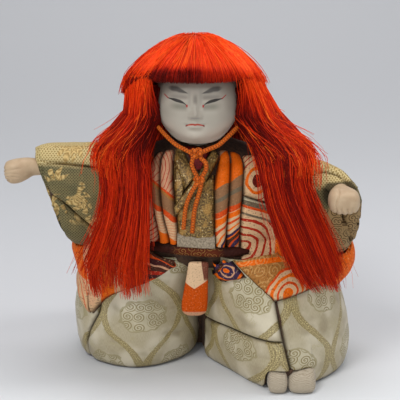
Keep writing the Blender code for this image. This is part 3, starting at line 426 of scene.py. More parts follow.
def hakama(name, p0, q0, flip=1.0):
    # Silver-beige satin with rising-steam bands in gold and clouds between them.
    m = Mat(name, roughness=0.40, specular=0.5)
    u, v = m.uv()
    P = (u - p0) * flip + m.wobble(16.0, 5.0)
    Q = v - q0
    H, A, L = 22.0, 9.6, 66.0
    pf = (P / (2*H) + 0.5).ridge() * (2*H)
    b = (Q * (2*math.pi/L) + math.pi/2).sin() * A
    off = (pf - b - H/2).abs()
    band = (off + m.wobble(1.6, 0.9)).step(2.5, 2.0)
    threads = ((off * (2*math.pi/0.95)).sin() * 0.5 + 0.5)
    qa = (Q / L + 0.5).ridge() * L
    near_a = m.dist(pf, qa, 0.0, 0.0, 0.78)
    near_b = m.dist(pf, qa, H, L/2, 0.78)
    wobble = m.grain(5.0) * 5.0
    inside = (near_a.low(near_b) + wobble).step(11.6, 11.0)
    rim = (near_a.low(near_b) + wobble).line(11.6, 0.35, 0.25)
    scroll = curls(m, u, v, 5.2) * inside
    petals = curls(m, u, v, 3.4, 1.2, 0.34) * (1.0 - inside) * m.grain(9.0).step(0.60, 0.66)
    fine = m.noise(0.7, 1.0, m.join(u * 2.6, v * 0.4))
    base = m.mix(fine.step(0.2, 0.8), srgb(163, 150, 120), srgb(182, 170, 140))
    # broad pale and dark patches over the satin: painted sheen and shade
    base = m.mix(m.noise(17.0, 2.0, m.join(u, v * 0.7)).step(0.42, 0.68) * 0.8, base, srgb(212, 202, 178))
    base = m.mix(m.noise(13.0, 2.0, m.join(u * 0.8 + 40.0, v)).step(0.50, 0.72) * 0.6, base, srgb(140, 126, 98))
    # the gold runs dark to light along its threads and in fine spots, with pale flecks: painted highlights and glints
    # on the metal thread
    spark = m.grain(0.55)
    gold = m.mix(threads * 0.6 + spark.step(0.45, 0.62) * 0.4, srgb(112, 96, 56), srgb(178, 160, 106))
    gold = m.mix(spark.step(0.60, 0.70), gold, srgb(226, 210, 150))
    color = m.mix(band * 0.9, base, gold)
    color = m.mix(inside * 0.35, color, srgb(196, 188, 156))
    color = m.mix(scroll * 0.9, color, srgb(132, 116, 66))
    color = m.mix(petals * 0.55, color, srgb(176, 164, 122))
    color = m.mix(rim * 0.7, color, srgb(150, 138, 96))
    relief = band * 0.7 + scroll * 0.8 + rim * 0.6 + threads * band * 0.4 + petals * 0.4
    return finish_cloth(m, color, 0.8, 0.045, relief, 0.10)


def ringed(m, u, v, cu, cv, stops, stretch, wob):
    # Nested arcs: colours by distance from a centre, in millimetres.
    d = m.dist(u, v, cu, cv, stretch) + m.wobble(6.0, wob) * 2
    return m.bands(d, 40.0, stops)


def line_set(a, b, pitch, share, count, start):
    # Stops that alternate a ground colour and thin lines.
    out = []
    at = start
    for _ in range(count):
        out.append((at, a))
        out.append((at + pitch * (1 - share), b))
        at += pitch
    return out


def haori(name, paint, amount=0.22):
    m = Mat(name, roughness=0.66, specular=0.15)
    u, v = m.uv()
    color = paint(m, u, v)
    grain = m.grain(0.8)
    return finish_cloth(m, speckled(m, color, u, v, amount), 1.15, 0.12, grain, 0.10)


def paint_collar_right(m, u, v):
    h = v + (u + 20.0) * 0.65 + m.wobble(9.0, 3.0)
    bands = m.bands(h - 70.0, 60.0, [
        (0.0, ORANGE), (13.5, CREAM), (24, DEEP_ORANGE), (27, TAUPE), (34.5, GOLD_BROWN),
        (36, DEEP_ORANGE), (37.5, PINK), (46, PINK)])
    d = m.dist(u, v, -27.0, 116.0, 1.1) + m.wobble(5.0, 2.5)
    lines = (d / 2.1).ridge().step(0.16, 0.06) * h.step(107.0, 108.0)
    color = m.mix(lines * 0.85, bands, RED)
    ripple = (v / 1.5 + (u * 0.9).sin() * 0.2).ridge().step(0.20, 0.10)
    low = h.step(94.0, 93.0) * h.step(83.0, 84.0)
    return m.mix(ripple * low * 0.5, color, DEEP_ORANGE)


def paint_collar_left(m, u, v):
    h = v - (u - 15.0) * 0.45 + m.wobble(9.0, 2.0)
    arcs = ringed(m, u, v, 27.0, 71.0, [
        (0.0, CREAM), (3.0, DEEP_ORANGE), (4.5, CREAM), (6.5, RED), (7.5, PINK), (9.0, ORANGE), (9.8, NAVY),
        (11.6, DEEP_ORANGE), (12.4, BROWN), (14.4, ORANGE), (15.2, NAVY), (16.6, CREAM), (18.2, ORANGE),
        (19.2, CREAM), (21.0, DEEP_ORANGE), (22.2, CREAM), (23.6, ORANGE)], 1.0, 1.0)
    bands = m.bands(h - 70.0, 60.0, [
        (0.0, CREAM), (24.5, DEEP_ORANGE), (27.5, TAUPE), (33, GREY), (35, TAUPE),
        (40, ORANGE), (54, PINK)])
    return m.mix(h.step(94.0, 94.6), arcs, bands)


def paint_body_left(m, u, v):
    stops = [(0.0, DARK_RED), (2.9, CREAM), (4.6, ORANGE), (6.0, CREAM)]
    stops += line_set(CREAM, RED, 1.9, 0.30, 8, 7.4)
    return ringed(m, u, v, 30.4, 109.7, stops, 1.0, 0.8)


def paint_body_left_lower(m, u, v):
    stops = line_set(CREAM, RED, 4.1, 0.34, 5, -0.6)
    stops = [(0.0, CREAM)] + [q for q in stops if q[0] > 0] + [(20.6, ORANGE), (28.0, TAUPE)]
    arcs = ringed(m, u, v, 23.6, 75.4, stops, 1.0, 0.9)
    t = v + (u - 23.0) * 0.36
    top = m.bands(t - 90.0, 20.0, [
        (0.0, CREAM), (2.6, GREY), (5.0, CREAM), (7.6, DEEP_ORANGE), (9.0, GREY), (11.6, PALE)])
    color = m.mix(t.step(93.4, 94.0), arcs, top)
    side = (u + (v - 84.0) * -0.2).step(43.0, 43.8)
    return m.mix(side, color, ORANGE)


def paint_body_right(m, u, v):
    stops = line_set(PINK, RED, 2.4, 0.28, 9, 0.0) + [(22.0, ORANGE), (26.0, TAUPE), (30.0, ORANGE), (33.0, CREAM)]
    return ringed(m, u, v, -34.0, 96.0, stops, 1.0, 1.4)


def paint_skirt_dark(m, u, v):
    stops = [(0.0, DEEP_ORANGE), (1.6, MAROON), (4.2, RED), (6.0, BROWN), (8.2, PINK), (9.1, MAROON),
             (12.2, DEEP_ORANGE), (13.8, BROWN), (16.4, PINK), (17.3, MAROON), (20.6, DEEP_ORANGE), (22.6, MAROON)]
    dark = ringed(m, u, v, -22.0, 55.0, stops, 0.8, 2.0)
    wob = m.wobble(8.0, 4.0)
    x = m.x + wob
    strip = x.step(-55.5, -54.9) * x.step(-47.2, -47.8)
    cream = m.mix(m.noise(5.0, 1.0).step(0.45, 0.6) * 0.5, CREAM, PINK)
    outer = m.mix(strip, cream, ORANGE)
    outer = m.mix(x.step(-69.0, -69.6), outer, ORANGE)
    return m.mix(x.step(-40.0, -41.0), dark, outer)


def paint_skirt_swirl(m, u, v):
    stops = [(0.0, ORANGE), (1.5, NAVY), (3.1, PINK), (3.9, NAVY), (6.0, ORANGE), (7.4, BROWN), (9.2, NAVY),
             (11.2, ORANGE), (14.0, RED)]
    return ringed(m, u, v, 17.8, 63.0, stops, 1.0, 2.4)


def paint_skirt_gold(m, u, v):
    arcs = ringed(m, u, v, 46.0, 50.5, [
        (0.0, ORANGE), (2.4, CREAM), (4.2, DEEP_ORANGE), (5.2, CREAM), (7.0, ORANGE), (8.4, CREAM),
        (9.8, DEEP_ORANGE), (10.8, GOLD_BROWN)], 1.0, 1.2)
    line = (v + (u - 40.0) * 0.06 - 65.4).abs().step(1.3, 0.9)
    color = m.mix(line, arcs, ORANGE)
    scroll = curls(m, u, v, 6.0, 1.4, 0.26) * m.dist(u, v, 46.0, 50.5).step(11.0, 12.0)
    return m.mix(scroll * 0.35, color, srgb(222, 176, 110))


def paint_hem_orange(m, u, v):
    patch = (m.grain(11.0) * 20.0 + m.dist(u, v, 76.0, 58.0)).step(17.0, 15.6)
    lines = (v / 2.1 + m.grain(6.0) * 2.0).ridge().step(0.14, 0.05)
    color = m.mix(patch, ORANGE, CREAM)
    return m.mix(lines * patch * 0.8, color, DEEP_ORANGE)


def paint_hem_right(m, u, v):
    wob = m.wobble(9.0, 8.0)
    low = (v + wob).step(51.0, 49.5)
    lines = (m.dist(u, v, -66.0, 30.0) / 2.4 + wob * 0.1).ridge().step(0.20, 0.08)
    color = m.mix(low, ORANGE, CREAM)
    return m.mix(lines * low * 0.7, color, DEEP_ORANGE)


def paint_back(m, u, v):
    pad = m.grain(26.0)
    cell = m.cells(30.0, u, v)
    d = Ex(m.tree, cell.outputs["Distance"]) * 30.0 + m.wobble(6.0, 2.0)
    stops = line_set(CREAM, DEEP_ORANGE, 2.6, 0.30, 4, 0.0) + [(10.4, ORANGE), (13.0, TAUPE), (15.0, CREAM),
                                                             (16.5, NAVY), (18.0, ORANGE), (19.0, GOLD_BROWN)]
    arcs = m.bands(d, 40.0, stops)
    return m.mix(pad.step(0.56, 0.58), arcs, ORANGE)


def kimono(name):
    m = Mat(name, roughness=0.42, metallic=0.35)
    u, v = m.uv()
    grain = m.grain(0.9, 2.0)
    patch = m.grain(7.0, 2.0)
    color = m.mix(grain.step(0.40, 0.62), srgb(80, 56, 24), srgb(148, 118, 60))
    color = m.mix(patch.step(0.52, 0.66) * 0.6, color, srgb(178, 132, 62))
    # pale flecks: painted glints on the lame
    color = m.mix(grain.step(0.66, 0.74), color, srgb(244, 236, 204))
    return finish_cloth(m, color, 0.9, 0.10, grain, 0.22)


def sleeve(name):
    # Scale ground, brighter gold over the shoulders (partly the cloth's own gold, partly painted highlight where
    # light from above falls), with woven leaf sprays.
    m = Mat(name, roughness=0.6, specular=0.12)
    u, v = m.uv()
    row = (v / 0.80)
    shift = (row.floor() * 0.5).frac()
    du = ((u / 1.6 + shift).frac() - 0.5)
    dv = row.frac()
    scale = (du * du * 3.6 + dv * dv).power(0.5)
    lines = (scale - 0.72).abs().step(0.26, 0.06)
    # high: the tops in brighter gold, partly the cloth's own and partly painted highlight from the light above
    high = (m.z + m.x.step(0.0, 10.0) * 10.5 + (m.noise(9.0) - 0.5) * 3.0).step(115.5, 118.5)
    cloudy = m.noise(15.0, 2.0).step(0.35, 0.68)
    low_a = m.mix(cloudy, srgb(76, 70, 46), srgb(94, 82, 50))
    low_b = m.mix(cloudy, srgb(122, 116, 84), srgb(152, 138, 96))
    dark = m.mix(high, low_a, srgb(150, 128, 78))
    pale = m.mix(high, low_b, srgb(224, 204, 152))
    base = m.mix(lines, dark, pale)
    warp = m.grain(11.0)
    r, angle = m.about_cells(17.0, u + warp * 10.0, v - warp * 8.0)
    lobe = (angle * 4.5 + r * 0.35).sin().abs()
    leaf = (lobe * 4.6 + 3.4 - r).step(-0.3, 0.5) * m.grain(2.4).step(0.30, 0.42)
    vein = ((r * 2.4 + lobe * 5.0).sin() * 0.5 + 0.5)
    gold = m.mix(vein, srgb(214, 184, 122), srgb(150, 120, 68))
    show = m.grain(19.0).step(0.39, 0.45)
    color = m.mix(leaf * show * 0.85, base, gold)
    # scroll cloth under the left fist, and the shade of the opening above it
    roll = m.x.step(62.0, 64.0) * m.z.step(97.5, 95.5)
    scroll = curls(m, u, v, 4.4, 1.3, 0.22)
    color = m.mix(roll, color, m.mix(scroll, srgb(152, 124, 84), srgb(78, 58, 34)))
    hollow = m.dist(m.x, m.z, 75.5, 104.2, 0.85).step(9.6, 7.0) * m.y.step(-8.0, -11.0) * m.z.step(110.6, 109.0)
    color = m.mix(hollow * 0.85, color, srgb(34, 28, 16))
    return finish_cloth(m, color, 0.95, 0.08, lines * 0.3 + leaf * show + scroll * roll, 0.14)


def belt_cloth(name):
    m = Mat(name, roughness=0.6, specular=0.12)
    u, v = m.uv()
    scroll = curls(m, u + 1.0, v * 1.15, 3.9, 1.1, 0.17)
    middle = (u + 1.0).abs().step(15.0, 8.0)
    base = m.mix(middle, srgb(48, 14, 5), srgb(88, 32, 8))
    color = m.mix(scroll * middle * 0.55, base, srgb(184, 140, 74))
    return finish_cloth(m, color, 1.0, 0.10, scroll, 0.2)


def plain_silk(name, color, dark):
    m = Mat(name, roughness=0.55, specular=0.25)
    grain = m.grain(1.1, 2.0)
    return finish_cloth(m, m.mix(grain.step(0.35, 0.7), dark, color), 0.9, 0.06)


HAKAMA_R = hakama("hakama_right", -32.0, 33.0)
HAKAMA_L = hakama("hakama_left", 21.7, 20.0)
HAKAMA_U = hakama("hakama_left_top", 29.0, 50.0, -1.0)
HAKAMA_S = hakama("hakama_left_side", 70.0, 47.0)
HAKAMA_B = hakama("hakama_back", 22.0, 30.0)
COLLAR_R = haori("haori_collar_right", paint_collar_right, amount=0.10)
COLLAR_L = haori("haori_collar_left", paint_collar_left, amount=0.10)
BODY_R = haori("haori_body_right", paint_body_right)
BODY_L = haori("haori_body_left", paint_body_left)
BODY_LL = haori("haori_body_left_lower", paint_body_left_lower)
BACK = haori("haori_back", paint_back)
SKIRT_D = haori("haori_skirt_dark", paint_skirt_dark)
SKIRT_N = haori("haori_skirt_swirl", paint_skirt_swirl)
SKIRT_G = haori("haori_skirt_gold", paint_skirt_gold)
HEM_L = haori("haori_hem_left", paint_hem_orange)
HEM_R = haori("haori_hem_right", paint_hem_right)
KIMONO = kimono("kimono_lame")
SLEEVE = sleeve("sleeve_scales")
BELT = belt_cloth("belt_brocade")
RED_SILK = plain_silk("red_silk", srgb(128, 22, 20), srgb(84, 12, 12))
WHITE_SILK = plain_silk("white_silk", srgb(168, 152, 130), srgb(128, 114, 94))


# moulded forms, as in part.py

FORM_RINGS = {
    "right_leg": (polar_ring, [
        (-36, 24, -3, [32, 33, 33, 33, 32, 34, 35, 32]),
        (-36, 24, 0, [32, 33, 33, 33, 32, 34, 35, 32]),
        (-36, 24, 4, [34, 35, 35, 35, 34.5, 37, 38, 34]),
        (-36, 24, 15, [35, 36, 37, 37, 36, 40, 41, 36]),
        (-36, 24, 32, [35, 36, 37, 37, 36, 41, 42, 37]),
        (-31, 22, 48, [34, 36, 37, 36, 36, 39, 40, 36]),
        (-22, 20, 62, [33, 36, 37, 36, 34, 36, 39, 35]),
        (-10, 17, 76, [30, 33, 34, 33, 31, 33, 37, 33])]),
    "left_leg": (polar_ring, [
        (44, 14, -3, [39, 40, 44, 44, 41, 38, 56, 45]),
        (44, 14, 0, [39, 40, 44, 44, 41, 38, 56, 45]),
        (44, 14, 4, [41, 42, 46, 46, 43, 40, 59, 47]),
        (44, 14, 15, [42, 43, 47, 47, 43, 41, 59, 48]),
        (42, 13, 32, [41, 42, 47, 46, 42, 41, 56, 47]),
        (38, 12, 50, [39, 41, 46, 43, 38, 38, 49, 43]),
        (28, 13, 64, [40, 38, 41, 37, 32, 32, 42, 38]),
        (14, 14, 76, [36, 33, 35, 31, 28, 28, 37, 35])]),
    "seat": (flat_oval, [
        (2, 44, -3, 26, 22), (2, 44, 0, 26, 22), (2, 43, 6, 28, 24),
        (2, 40, 20, 30, 27), (2, 32, 40, 32, 29), (2, 22, 56, 32, 29),
        (2, 14, 68, 32, 30), (2, 12, 78, 30, 28)]),
    "torso": (flat_oval, [
        (2, 9, 60, 33, 24, 2.2), (2, 9, 66, 38, 31, 2.2), (2, 9, 74, 40, 34, 2.3),
        (2, 9, 88, 45, 36, 2.4), (1, 9, 102, 47, 35, 2.4), (0, 10, 114, 44, 30, 2.3),
        (0, 11, 122, 34, 23, 2.1), (0, 11, 128, 17, 14, 2.0)]),
    "right_sleeve": (slab_ring, [
        ((-28, 4, 123), (-34, 6, 76), 20), ((-48, 3, 125.5), (-48, 5, 71), 18),
        ((-66, 2, 126), (-61, 4, 69), 15), ((-82, 1, 126), (-69.8, 3, 70.5), 13),
        ((-88, 1, 125), (-73.4, 3, 74), 11), ((-90.5, 1, 124), (-75.8, 3, 78), 9.5)]),
    "left_sleeve": (slab_ring, [
        ((26, 4, 120), (30, 2, 77), 21), ((48, 2, 119.5), (46, 0, 71), 21),
        ((64, -1, 117), (60, -2, 67), 20), ((77, -3, 112), (71, -4, 67), 18),
        ((85, -4, 104), (80, -4, 69), 14), ((88.5, -4, 97), (85.5, -4, 76), 7)]),
    "coat_right": (flat_oval, [
        (-28, 14, 76, 35, 23), (-30, 14, 66, 39.5, 27), (-31, 14, 56, 36.5, 30),
        (-32, 16, 44, 34, 31), (-34, 20, 37, 29, 27)]),
    "coat_left": (flat_oval, [
        (46, 6, 76, 31, 22), (48, 6, 69, 34.5, 26), (49, 6, 62, 35.5, 29),
        (48, 7, 55, 34.5, 31), (45, 9, 47, 31, 32), (43, 10, 41, 27, 29)]),
}
FORMS = {name: [ring(*row) for row in rows] for name, (ring, rows) in FORM_RINGS.items()}


def tree_of_rings(names, around=96, along=64):
    verts = []
    faces = []
    for name in names:
        start = len(verts)
        verts += [tuple(p) for p in skin(FORMS[name], around, along).reshape(-1, 3)]
        faces += [tuple(start + i for i in f) for f in skin_faces(around, along)]
    return BVHTree.FromPolygons(verts, faces)


ALL_FORMS = tree_of_rings(list(FORMS))
TREES = {
    "right leg": tree_of_rings(["right_leg"]), "left leg": tree_of_rings(["left_leg"]),
    "right rim": tree_of_rings(["right_sleeve"]), "left rim": tree_of_rings(["left_sleeve"]),
}
# upright axes: x, y and the pattern's millimetres for one degree; level ones: x, z, its start and its degrees
AXES = {"around": (5.0, 20.0, 0.72), "right leg": (-36.0, 24.0, 0.66), "right side": (-36.0, 24.0, 0.66),
        "left leg": (44.0, 14.0, 0.78), "left side": (44.0, 14.0, 0.78)}
RIM_AXES = {"right rim": (-60, 98), "left rim": (60, 92)}
FAR = 260.0


def on_form(mode, s, t):
    # Where a look at the forms meets them: s across or in degrees, t the height or the way along an axis.
    turn = math.radians(s)
    if mode in ("front", "back"):
        way = Vector((0, 1 if mode == "front" else -1, 0))
        start = Vector((s, 0, t))
    elif mode in AXES:
        way = Vector((-math.cos(turn), -math.sin(turn), 0))
        start = Vector((AXES[mode][0], AXES[mode][1], t))
    else:
        way = Vector((-math.cos(turn), 0, -math.sin(turn)))
        start = Vector((RIM_AXES[mode][0], t, RIM_AXES[mode][1]))
    start = start - way * FAR
    tree = TREES.get(mode, ALL_FORMS)
    hit = tree.ray_cast(start, way)[0]
    if hit is None:
        hit = tree.find_nearest(start + way * FAR * 0.75)[0]
    return hit, -way


def cloth_uv(mode, s, t):
    # Pattern coordinates in millimetres.
    if mode in ("front", "back"):
        return s, t
    if mode == "right rim":
        return (s - 180.0) * 0.6 - 80.0, t + 100.0
    if mode == "left rim":
        return s * 0.6 + 70.0, t + 90.0
    return (s - 270.0) * AXES[mode][2] + AXES[mode][0], t


PITCH = 1.25
SEAM_DEPTH = 2.1
RIM_STEPS = (0.35, 0.8, 1.4)


def around_each(grid):
    # The sum of the four neighbours of every inner point.
    return grid[:-2, 1:-1] + grid[2:, 1:-1] + grid[1:-1, :-2] + grid[1:-1, 2:]


def cloth(name, mat, mode, edge_a, edge_b, rolled="abse", lift=0.9, thick=0.8, puff=0.0,
          pitch=PITCH, pillow=0.9, waves=(), nodes=None):
    # A cloth panel ruled between two pattern edges; rims named in rolled are tucked in.
    a = even_curve(edge_a, 60)
    b = even_curve(edge_b, 60)
    near_a = np.array([on_form(mode, s, t)[0] for s, t in a[::6]])
    near_b = np.array([on_form(mode, s, t)[0] for s, t in b[::6]])
    across = float(np.mean(np.linalg.norm(near_a - near_b, axis=1)))
    along = float(np.mean([np.linalg.norm(np.diff(q, axis=0), axis=1).sum() for q in (near_a, near_b)]))

    def rows(length, first, last):
        cells = max(4, int(round(length / pitch)))
        x = list(np.linspace(0, 1, cells + 1))
        if first:
            x += [step / length for step in RIM_STEPS]
        if last:
            x += [1 - step / length for step in RIM_STEPS]
        x = np.unique(np.round(np.array(x), 5))
        keep = [x[0]]
        for value in x[1:-1]:
            if value - keep[-1] > 0.25 / length and 1 - value > 0.2 / length:
                keep.append(value)
        return np.array(keep + [x[-1]])

    us = rows(across, "a" in rolled, "b" in rolled)
    vs = rows(along, "s" in rolled, "e" in rolled)
    line_a = curve_at(a, vs)
    line_b = curve_at(b, vs)
    nu, nv = len(us), len(vs)
    points = np.zeros((nu, nv, 3))
    hints = np.zeros((nu, nv, 3))
    uv = np.zeros((nu, nv, 2))
    for i, u in enumerate(us):
        for j in range(nv):
            s, t = line_a[j] * (1 - u) + line_b[j] * u
            points[i, j], hints[i, j] = on_form(mode, s, t)
            uv[i, j] = cloth_uv(mode, s, t)
    # soften the creases where two forms meet, as stretched cloth does
    for _ in range(4):
        mid = points.copy()
        mid[1:-1, 1:-1] = around_each(points) / 4
        gap = np.sum((mid - points) * hints, axis=2, keepdims=True)
        points = points + hints * np.clip(gap, -0.02, 0.5)
    du = np.gradient(points, axis=0)
    dv = np.gradient(points, axis=1)
    ways = unit(np.cross(du, dv))
    ways *= np.where(np.sum(ways * hints, axis=2, keepdims=True) < 0, -1, 1)
    for _ in range(3):
        soft = ways.copy()
        soft[1:-1, 1:-1] = (around_each(ways) + ways[1:-1, 1:-1]) / 5
        ways = unit(soft)
    far = np.full((nu, nv), 99.0)
    uu = us[:, None] * across
    vv = vs[None, :] * along
    for rim, distance in (("a", uu), ("b", across - uu), ("s", vv), ("e", along - vv)):
        if rim in rolled:
            far = np.minimum(far, distance)
    local = np.random.default_rng(sum(ord(c) for c in name))
    ripple = np.zeros((nu, nv))
    for _ in range(5):
        k = local.uniform(0.5, 1.15)
        turn = local.uniform(0, 2 * math.pi)
        ripple += np.sin(uu * k * math.cos(turn) + vv * k * math.sin(turn) + local.uniform(0, 6.28)) / 5
    near_rim = np.exp(-((far - 2.2) / 2.4) ** 2)
    high = lift + thick - SEAM_DEPTH * np.exp(-(far / 0.75) ** 1.6) - pillow * np.exp(-far / 3.2)
    high = high + puff * np.sin(math.pi * us)[:, None] * np.sin(math.pi * vs)[None, :]
    high = high + ripple * (0.16 + 0.16 * near_rim)
    for (cx, cy, wx, wy, turn, depth) in waves:
        c, s = math.cos(math.radians(turn)), math.sin(math.radians(turn))
        p = (uv[..., 0] - cx) * c + (uv[..., 1] - cy) * s
        q = -(uv[..., 0] - cx) * s + (uv[..., 1] - cy) * c
        high = high + depth * np.exp(-(p / wx) ** 2 - (q / wy) ** 2)
    outer = points + ways * high[..., None]
    inner = points + ways * (high - thick)[..., None]
    n = nu * nv
    index = np.arange(n).reshape(nu, nv)
    top = np.stack([index[:-1, :-1], index[1:, :-1], index[1:, 1:], index[:-1, 1:]], axis=-1).reshape(-1, 4)
    faces = top.tolist() + (top[:, ::-1] + n).tolist()
    ring = np.concatenate([index[:, 0], index[-1, 1:], index[-2::-1, -1], index[0, -2:0:-1]]).tolist()
    faces += [(p, n + p, n + q, q) for p, q in zip(ring, ring[1:] + ring[:1])]
    if np.dot(np.cross(du[nu//2, nv//2], dv[nu//2, nv//2]), ways[nu//2, nv//2]) < 0:
        faces = [tuple(reversed(f)) for f in faces]
    both = np.concatenate([outer.reshape(-1, 3), inner.reshape(-1, 3)])
    flat = uv.reshape(-1, 2)
    obj = make(name + "_cloth", both, faces, mat, np.concatenate([flat, flat]))
    # rim: how strongly painted shade darkens the cloth, strongest at the tucked edge
    rim = np.exp(-(far / 0.62) ** 2) + 0.12 * np.exp(-(far / 2.2) ** 2)
    rim = np.clip(rim, 0, 1).ravel()
    obj.data.attributes.new("rim", "FLOAT", "POINT").data.foreach_set("value", np.concatenate([rim, rim]))
    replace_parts(obj, *(nodes or [name]))


# braided cord

CORD_RADIUS = 1.2
KNOT_RADIUS = 1.15
PLAIT = 1.5


def cord_material():
    m = Mat("cord_braid", roughness=0.62, specular=0.25)
    u, v = m.uv()
    plait = (u / PLAIT + v).ridge().low((u / PLAIT - v).ridge())
    # darker in the grooves between the plaited strands, where the bump is low: painted shade
    color = m.mix(plait.step(0.02, 0.16), srgb(112, 42, 4), srgb(204, 92, 10))
    m.color(m.mix(m.noise(1.2, 1.0).step(0.4, 0.7) * 0.30, color, srgb(226, 122, 30)))
    m.bump(plait.step(0.0, 0.25), 0.22)
    return m.mat


CORD_MAT = cord_material()


def braid(name, points, count=90):
    # A round braided cord with soft swellings where the strands cross.
    line = even_curve(points, count)
    run = run_along(line)
    sides = 12
    ahead = unit(np.gradient(line, axis=0))
    side = np.cross(ahead[0], (0.3, 0.9, 0.2))
    verts = []
    uv = []
    for k in range(count):
        side = unit(side - ahead[k] * np.dot(side, ahead[k]))
        other = np.cross(ahead[k], side)
        for m in range(sides):
            t = 2 * math.pi * m / sides
            along = run[k] * 2 * math.pi / PLAIT
            lobe = math.sin(along + 2 * t) * math.sin(along - 2 * t)
            r = CORD_RADIUS * (0.97 + 0.06 * lobe)
            verts.append(line[k] + r * (side * math.cos(t) + other * math.sin(t)))
            uv.append((run[k], 2 * m / sides))
    return make(name, verts, skin_faces(sides, count), CORD_MAT, uv), line


def knot(name, centre, size, node):
    t = np.linspace(0, 2 * math.pi, 97)[:-1]
    x = (np.sin(t) + 2 * np.sin(2 * t)) / 3 * size[0]
    z = (np.cos(t) - 2 * np.cos(2 * t)) / 3 * size[2]
    y = -np.sin(3 * t) * size[1]
    line = np.stack([x, y, z], axis=1) + np.array(centre)
    n, sides = len(line), 10
    ahead = unit(np.roll(line, -1, axis=0) - np.roll(line, 1, axis=0))
    side = unit(np.cross(ahead, (0.05, 1.0, 0.1)))
    other = np.cross(ahead, side)
    verts, uv, faces = [], [], []
    for k in range(n):
        for m in range(sides):
            a = 2 * math.pi * m / sides
            verts.append(line[k] + KNOT_RADIUS * (side[k] * math.cos(a) + other[k] * math.sin(a)))
            uv.append((k * 0.28, 2 * m / sides))
    for k in range(n):
        for m in range(sides):
            q, w = (m + 1) % sides, (k + 1) % n
            faces.append((k*sides + m, w*sides + m, w*sides + q, k*sides + q))
    obj = make(name, verts, faces, CORD_MAT, uv)
    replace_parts(obj, node)
    return obj


CORD_RIGHT = [(-22.4, -15.2, 139.6), (-17.7, -20.9, 135.6), (-12.5, -24.8, 131.8), (-7.6, -27.2, 129.6),
              (-4.2, -28.2, 127.6), (-3.9, -28.5, 125.0), (-4.4, -28.8, 122.4), (-3.4, -29.0, 119.2),
              (-2.0, -29.2, 116.4), (-1.6, -29.6, 113.6), (-2.6, -29.9, 110.6), (-5.4, -30.7, 105.6),
              (-7.6, -30.9, 99.0), (-8.9, -30.4, 87.0)]
CORD_LEFT = [(20.0, -15.2, 139.4), (15.6, -20.4, 136.0), (9.8, -24.9, 131.8), (4.2, -27.2, 129.8),
             (0.4, -28.2, 127.9), (0.6, -28.5, 125.4), (2.9, -28.8, 123.0), (3.2, -29.0, 119.4),
             (1.5, -29.2, 116.2), (0.6, -29.6, 113.2), (0.4, -29.9, 110.2), (-1.0, -30.5, 105.0),
             (-3.0, -30.6, 97.0), (-4.2, -30.4, 84.8)]
knot_up = knot("chin_knot", (-1.9, -28.6, 128.4), (2.5, 1.1, 2.2), "cord_knot_upper")
knot_low = knot("loop_knot", (-0.6, -29.4, 113.5), (2.2, 1.0, 2.1), "cord_knot_lower")
for name, points, nodes, knots in (
    ("cord_right", CORD_RIGHT, ("chin_cord_right", "cord_loop_right", "cord_tail_right"), [knot_up]),
    ("cord_left", CORD_LEFT, ("chin_cord_left", "cord_loop_left", "cord_tail_left"), [knot_low]),
):
    piece, line = braid(name, points)
    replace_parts(piece, *nodes)
    to_m(points[0])
    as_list(knots)


# panels

LEG_SIDE = [(248, 67), (244.6, 52), (241, 40), (239, 32), (228, 19), (221, 8), (220, 1)]
CROSS = [(199, 25.2), (227, 26.5), (242, 27), (256, 27), (270.8, 27.5)]
COLLAR_R1 = [(-24.6, 121.4), (-27.0, 117.5), (-27.5, 108), (-25.3, 97), (-22.9, 83), (-22.6, 75)]
COLLAR_R2 = [(-19.6, 123.6), (-21.6, 119.5), (-21.7, 106), (-19.9, 92), (-17.2, 81), (-16.3, 75)]
COLLAR_R3 = [(-13.6, 124.4), (-14.6, 120.5), (-14.7, 110), (-13.4, 98), (-12.0, 82), (-12.1, 75)]
COLLAR_L1 = [(9.8, 124.4), (10.2, 120.5), (7.9, 110), (7.9, 94), (8.0, 75)]
COLLAR_L2 = [(15.8, 123.8), (16.7, 119.5), (15.8, 102), (14.6, 88), (14.1, 74)]
COLLAR_L3 = [(22.6, 121.6), (23.9, 117), (23.1, 104.6), (22.1, 92.4), (21.8, 73)]
TUBE_R = [(-86.5, 118.6), (-76, 118.2), (-62, 117), (-48, 115.5)]
BAG_R = [(-81, 101), (-73.7, 95.7), (-60.3, 82.7), (-50, 75)]
BAG_L = [(76.5, 96), (78.6, 87), (82.0, 80), (83.5, 74)]

cloth("hakama_right_side", HAKAMA_R, "right side", [(126, 58), (126, 40), (126, 20), (126, 0.6)], LEG_SIDE,
      rolled="b", lift=0.6)
cloth("hakama_right_front", HAKAMA_R, "right leg", LEG_SIDE,
      [(325, 69), (331, 52), (337, 40), (344, 26), (353, 14), (358, 0.6)], rolled="ab", puff=1.0,
      waves=[(-12, 18.5, 9, 1.6, -8, -1.3)])
cloth("hakama_right_back", HAKAMA_B, "back", [(2, 60), (2, 40), (2, 20), (2, 0.6)],
      [(-56, 58), (-63.5, 42), (-64.5, 16), (-61, 0.6)], rolled="ab", lift=1.2, pitch=1.7)
cloth("hakama_left_lower", HAKAMA_L, "left leg", CROSS,
      [(195, 0.6), (218, 0.6), (238, 0.6), (259.5, 0.8), (262, 8.4), (265, 11.4), (275, 11.6)], rolled="ae", puff=0.8)
cloth("hakama_left_upper", HAKAMA_U, "left leg", [(198, 67), (226, 69), (247, 68), (263, 63)], CROSS,
      rolled="be", puff=0.6)
cloth("hakama_left_side", HAKAMA_S, "left side",
      [(263, 63), (290, 61), (330, 59), (360, 58), (414, 58)],
      [(275, 11.6), (286, 11.2), (289.5, 8), (291.5, 1.0), (325, 0.6), (355, 0.6), (414, 0.6)],
      rolled="s", lift=0.2)
cloth("hakama_left_back", HAKAMA_B, "back", [(2, 60), (2, 40), (2, 20), (2, 0.6)],
      [(60, 58), (72, 42), (75.5, 16), (71, 0.6)], rolled="ab", lift=1.2, pitch=1.7)

